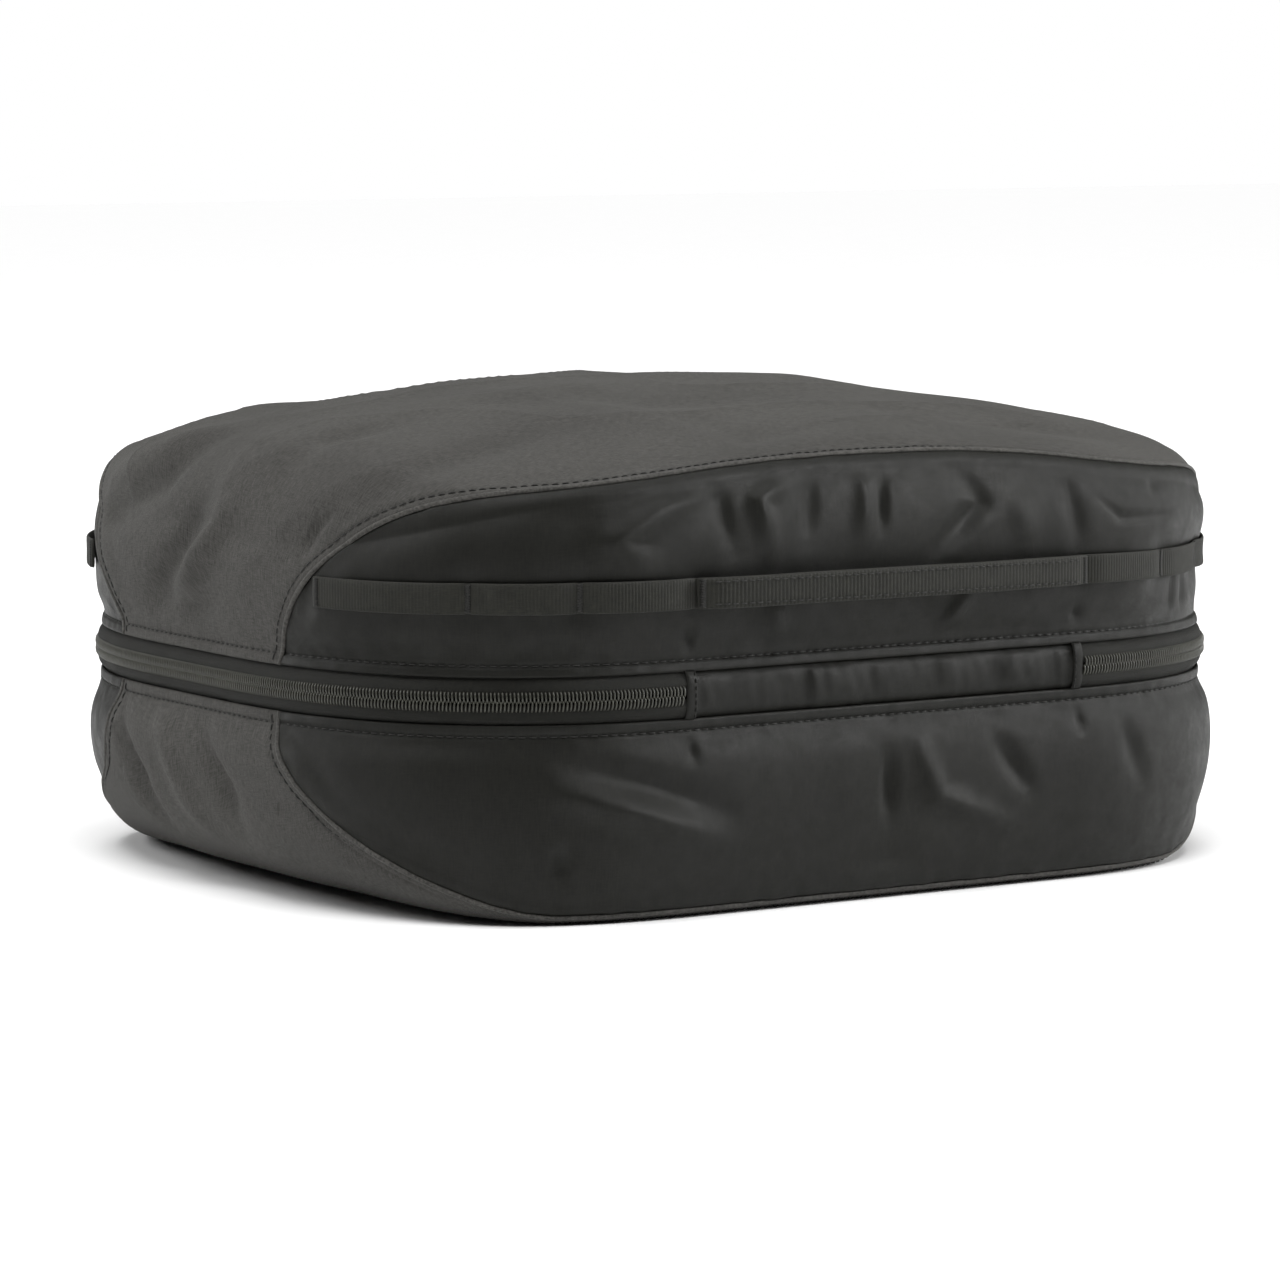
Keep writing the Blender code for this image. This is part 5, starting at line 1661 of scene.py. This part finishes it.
def make_materials():
    """Every material by its short name."""
    return {
        "cover": cover_material(),
        "panel": panel_material(),
        "bead": bead_material(),
        "webbing": webbing_material(),
        "tape": tape_material(),
        "coil": moulded_material("coil_nylon", COIL_DARK, COIL_LIGHT, 0.42, 0.5),
        "metal": moulded_material("slider_lacquer", METAL_DARK, METAL_LIGHT, 0.34, 0.5, 0.7),
        "grip": moulded_material("grip_rubber", GRIP_DARK, GRIP_LIGHT, 0.55, 0.45),
        "thread": yarn_material("sewing_thread", THREAD_DARK, THREAD_LIGHT),
        "net": yarn_material("net_yarn", NET_DARK, NET_LIGHT),
    }


# ------------------------------------------------------------------ building
def build_half(shell, folds, materials):
    """Cover, side panels, beads, bindings and their stitch lines of one half."""
    prefix = half_of(shell)
    body = body_of(shell)
    cover_folds, back_folds, front_folds = folds
    seed = 100 if shell is LID else 200
    cover = cover_cloth(shell, cover_folds, seed)
    cover.points = sag(cover.points)
    made = make_cover(cover, prefix + "_cover_canvas")
    finish_piece(made, body, "cover_fabric", materials["cover"], prefix + "_cover")
    end_spans = [(SEAM_FOOT_S + HEM_END, PERIMETER / 2 - SEAM_FOOT_S - HEM_END),
                 (PERIMETER / 2 + SEAM_FOOT_S + HEM_END, PERIMETER - SEAM_FOOT_S - HEM_END)]
    for tag, span in zip(("right", "left"), end_spans):
        add_hem_stitches(f"{prefix}_{tag}_hem_stitches", cover, span, body, materials["thread"])
    for tag, front, panel_folds in (("back", False, back_folds), ("front", True, front_folds)):
        panel = side_cloth(shell, front, panel_folds, seed + 20 + 20 * front)
        panel.points = sag(panel.points)
        uv = np.stack([panel.flat_s, panel.flat_h], 1)
        made = panel.make(f"{prefix}_{tag}_panel_nylon", uv)
        finish_piece(made, body, "panel_fabric", materials["panel"], f"{prefix}_{tag}_panel")
        reach = SEAM_FOOT_S - PANEL_HEM_END
        add_hem_stitches(f"{prefix}_{tag}_hem_stitches", panel, (-reach, reach), body, materials["thread"])
        add_bead(f"{prefix}_{tag}_bead", shell, front, materials["bead"])
        add_fell_stitches(f"{prefix}_{tag}_fell_stitches", cover, front, body, materials["thread"])
        add_binding(f"{prefix}_{tag}_binding", shell, front, materials["tape"])


def build_zip(materials):
    """Tapes, coils, hinge strip and end tabs."""
    for prefix, sign in (("upper", 1), ("lower", -1)):
        add_zip_tape(prefix + "_zip_tape", sign, materials["tape"])
        add_zip_coil(prefix + "_zip_coil", sign, materials["coil"])
    add_hinge(materials["panel"])
    for side in (-1, 1):
        add_end_tab(side, materials["panel"], materials["thread"])


def build_divider(materials):
    """Nets, their borders and the zip between them."""
    for name, side in (("rear", 1), ("front", -1)):
        add_net(f"divider_net_{name}", side, materials["net"], f"divider_mesh_{name}")
        add_net_border(f"divider_border_{name}", side, materials["tape"])
    add_divider_zip(materials)


def build_hardware(materials):
    """Sliders, wire links and grips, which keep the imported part's shape."""
    for prefix in ("right", "left", "divider"):
        dress_node(prefix + "_slider", materials["metal"], 0.00025)
        dress_node(prefix + "_pull_link", materials["metal"], 0.0001)
        dress_node(prefix + "_pull_grip", materials["grip"], 0.0006)


# ------------------------------------------------------------------ studio
def add_light(name, place, target, size, power):
    """A rectangular softbox at a place, turned to its target."""
    data = bpy.data.lights.new(name, "AREA")
    data.shape = "RECTANGLE"
    data.size, data.size_y = size
    data.energy = power
    light = link_new(name, data)
    light.location = place
    light.rotation_euler = (Vector(target) - Vector(place)).to_track_quat("-Z", "Y").to_euler()


def build_studio():
    """A pale floor, the world, three softboxes and a wide overhead sun."""
    bpy.ops.mesh.primitive_plane_add(size=FLOOR_SIZE, location=(0.0, 0.0, FLOOR_LEVEL))
    floor = bpy.context.object
    floor.name = "studio_floor"
    paint = Paint("studio_paper", 0.9, Specular_IOR_Level=0.1)
    grain = paint.speckle(paint.object_place(30.0), 2.0, 0.5)
    floor.data.materials.append(paint.finish(paint.ramp(grain, (0.3, FLOOR_TONE), (0.7, FLOOR_TONE + 0.01))))
    build_world()
    bpy.context.scene.view_settings.view_transform = "Standard"
    middle = (0.0, 0.0, ZIP_LEVEL)
    for name, place, size, power in LIGHTS:
        add_light(name, place, middle, size, power)
    data = bpy.data.lights.new("overhead", "SUN")
    data.energy = OVERHEAD_STRENGTH
    data.angle = math.radians(OVERHEAD_SPREAD)
    overhead = link_new("overhead", data)
    overhead.rotation_euler = Vector(OVERHEAD_FROM).to_track_quat("Z", "Y").to_euler()


def build_world():
    """White to the eye, dim as a light, so that the softboxes shape the dark fabric."""
    world = bpy.data.worlds.new("studio")
    world.use_nodes = True
    tree = world.node_tree
    seen = tree.nodes["Background"]
    seen.inputs["Color"].default_value = (1.0, 1.0, 1.0, 1.0)
    dim = tree.nodes.new("ShaderNodeBackground")
    dim.inputs["Strength"].default_value = WORLD_STRENGTH
    ray = tree.nodes.new("ShaderNodeLightPath")
    both = tree.nodes.new("ShaderNodeMixShader")
    tree.links.new(ray.outputs["Is Camera Ray"], both.inputs["Fac"])
    tree.links.new(dim.outputs["Background"], both.inputs[1])
    tree.links.new(seen.outputs["Background"], both.inputs[2])
    tree.links.new(both.outputs["Shader"], tree.nodes["World Output"].inputs["Surface"])
    bpy.context.scene.world = world


def build_camera():
    """A long lens, looking at the zip's level in the middle of the bag."""
    azimuth, elevation = math.radians(CAMERA_AZIMUTH), math.radians(CAMERA_ELEVATION)
    level = math.cos(elevation)
    back = Vector((math.sin(azimuth) * level, -math.cos(azimuth) * level, math.sin(elevation)))
    data = bpy.data.cameras.new("camera")
    data.lens = CAMERA_LENS
    data.sensor_width = CAMERA_SENSOR
    data.shift_x = CAMERA_SHIFT
    data.clip_start = 0.05
    camera = link_new("camera", data)
    camera.location = Vector((0.0, 0.0, ZIP_LEVEL)) + back * CAMERA_DISTANCE
    camera.rotation_euler = (-back).to_track_quat("-Z", "Y").to_euler()
    bpy.context.scene.camera = camera


MATERIALS = make_materials()
build_half(LID, (LID_COVER_FOLDS, LID_BACK_FOLDS, LID_FRONT_FOLDS), MATERIALS)
build_half(BASE, (BASE_COVER_FOLDS, BASE_BACK_FOLDS, BASE_FRONT_FOLDS), MATERIALS)
build_zip(MATERIALS)
for on_front in (False, True):
    add_strap_set(on_front, MATERIALS)
build_divider(MATERIALS)
build_hardware(MATERIALS)
build_studio()
build_camera()
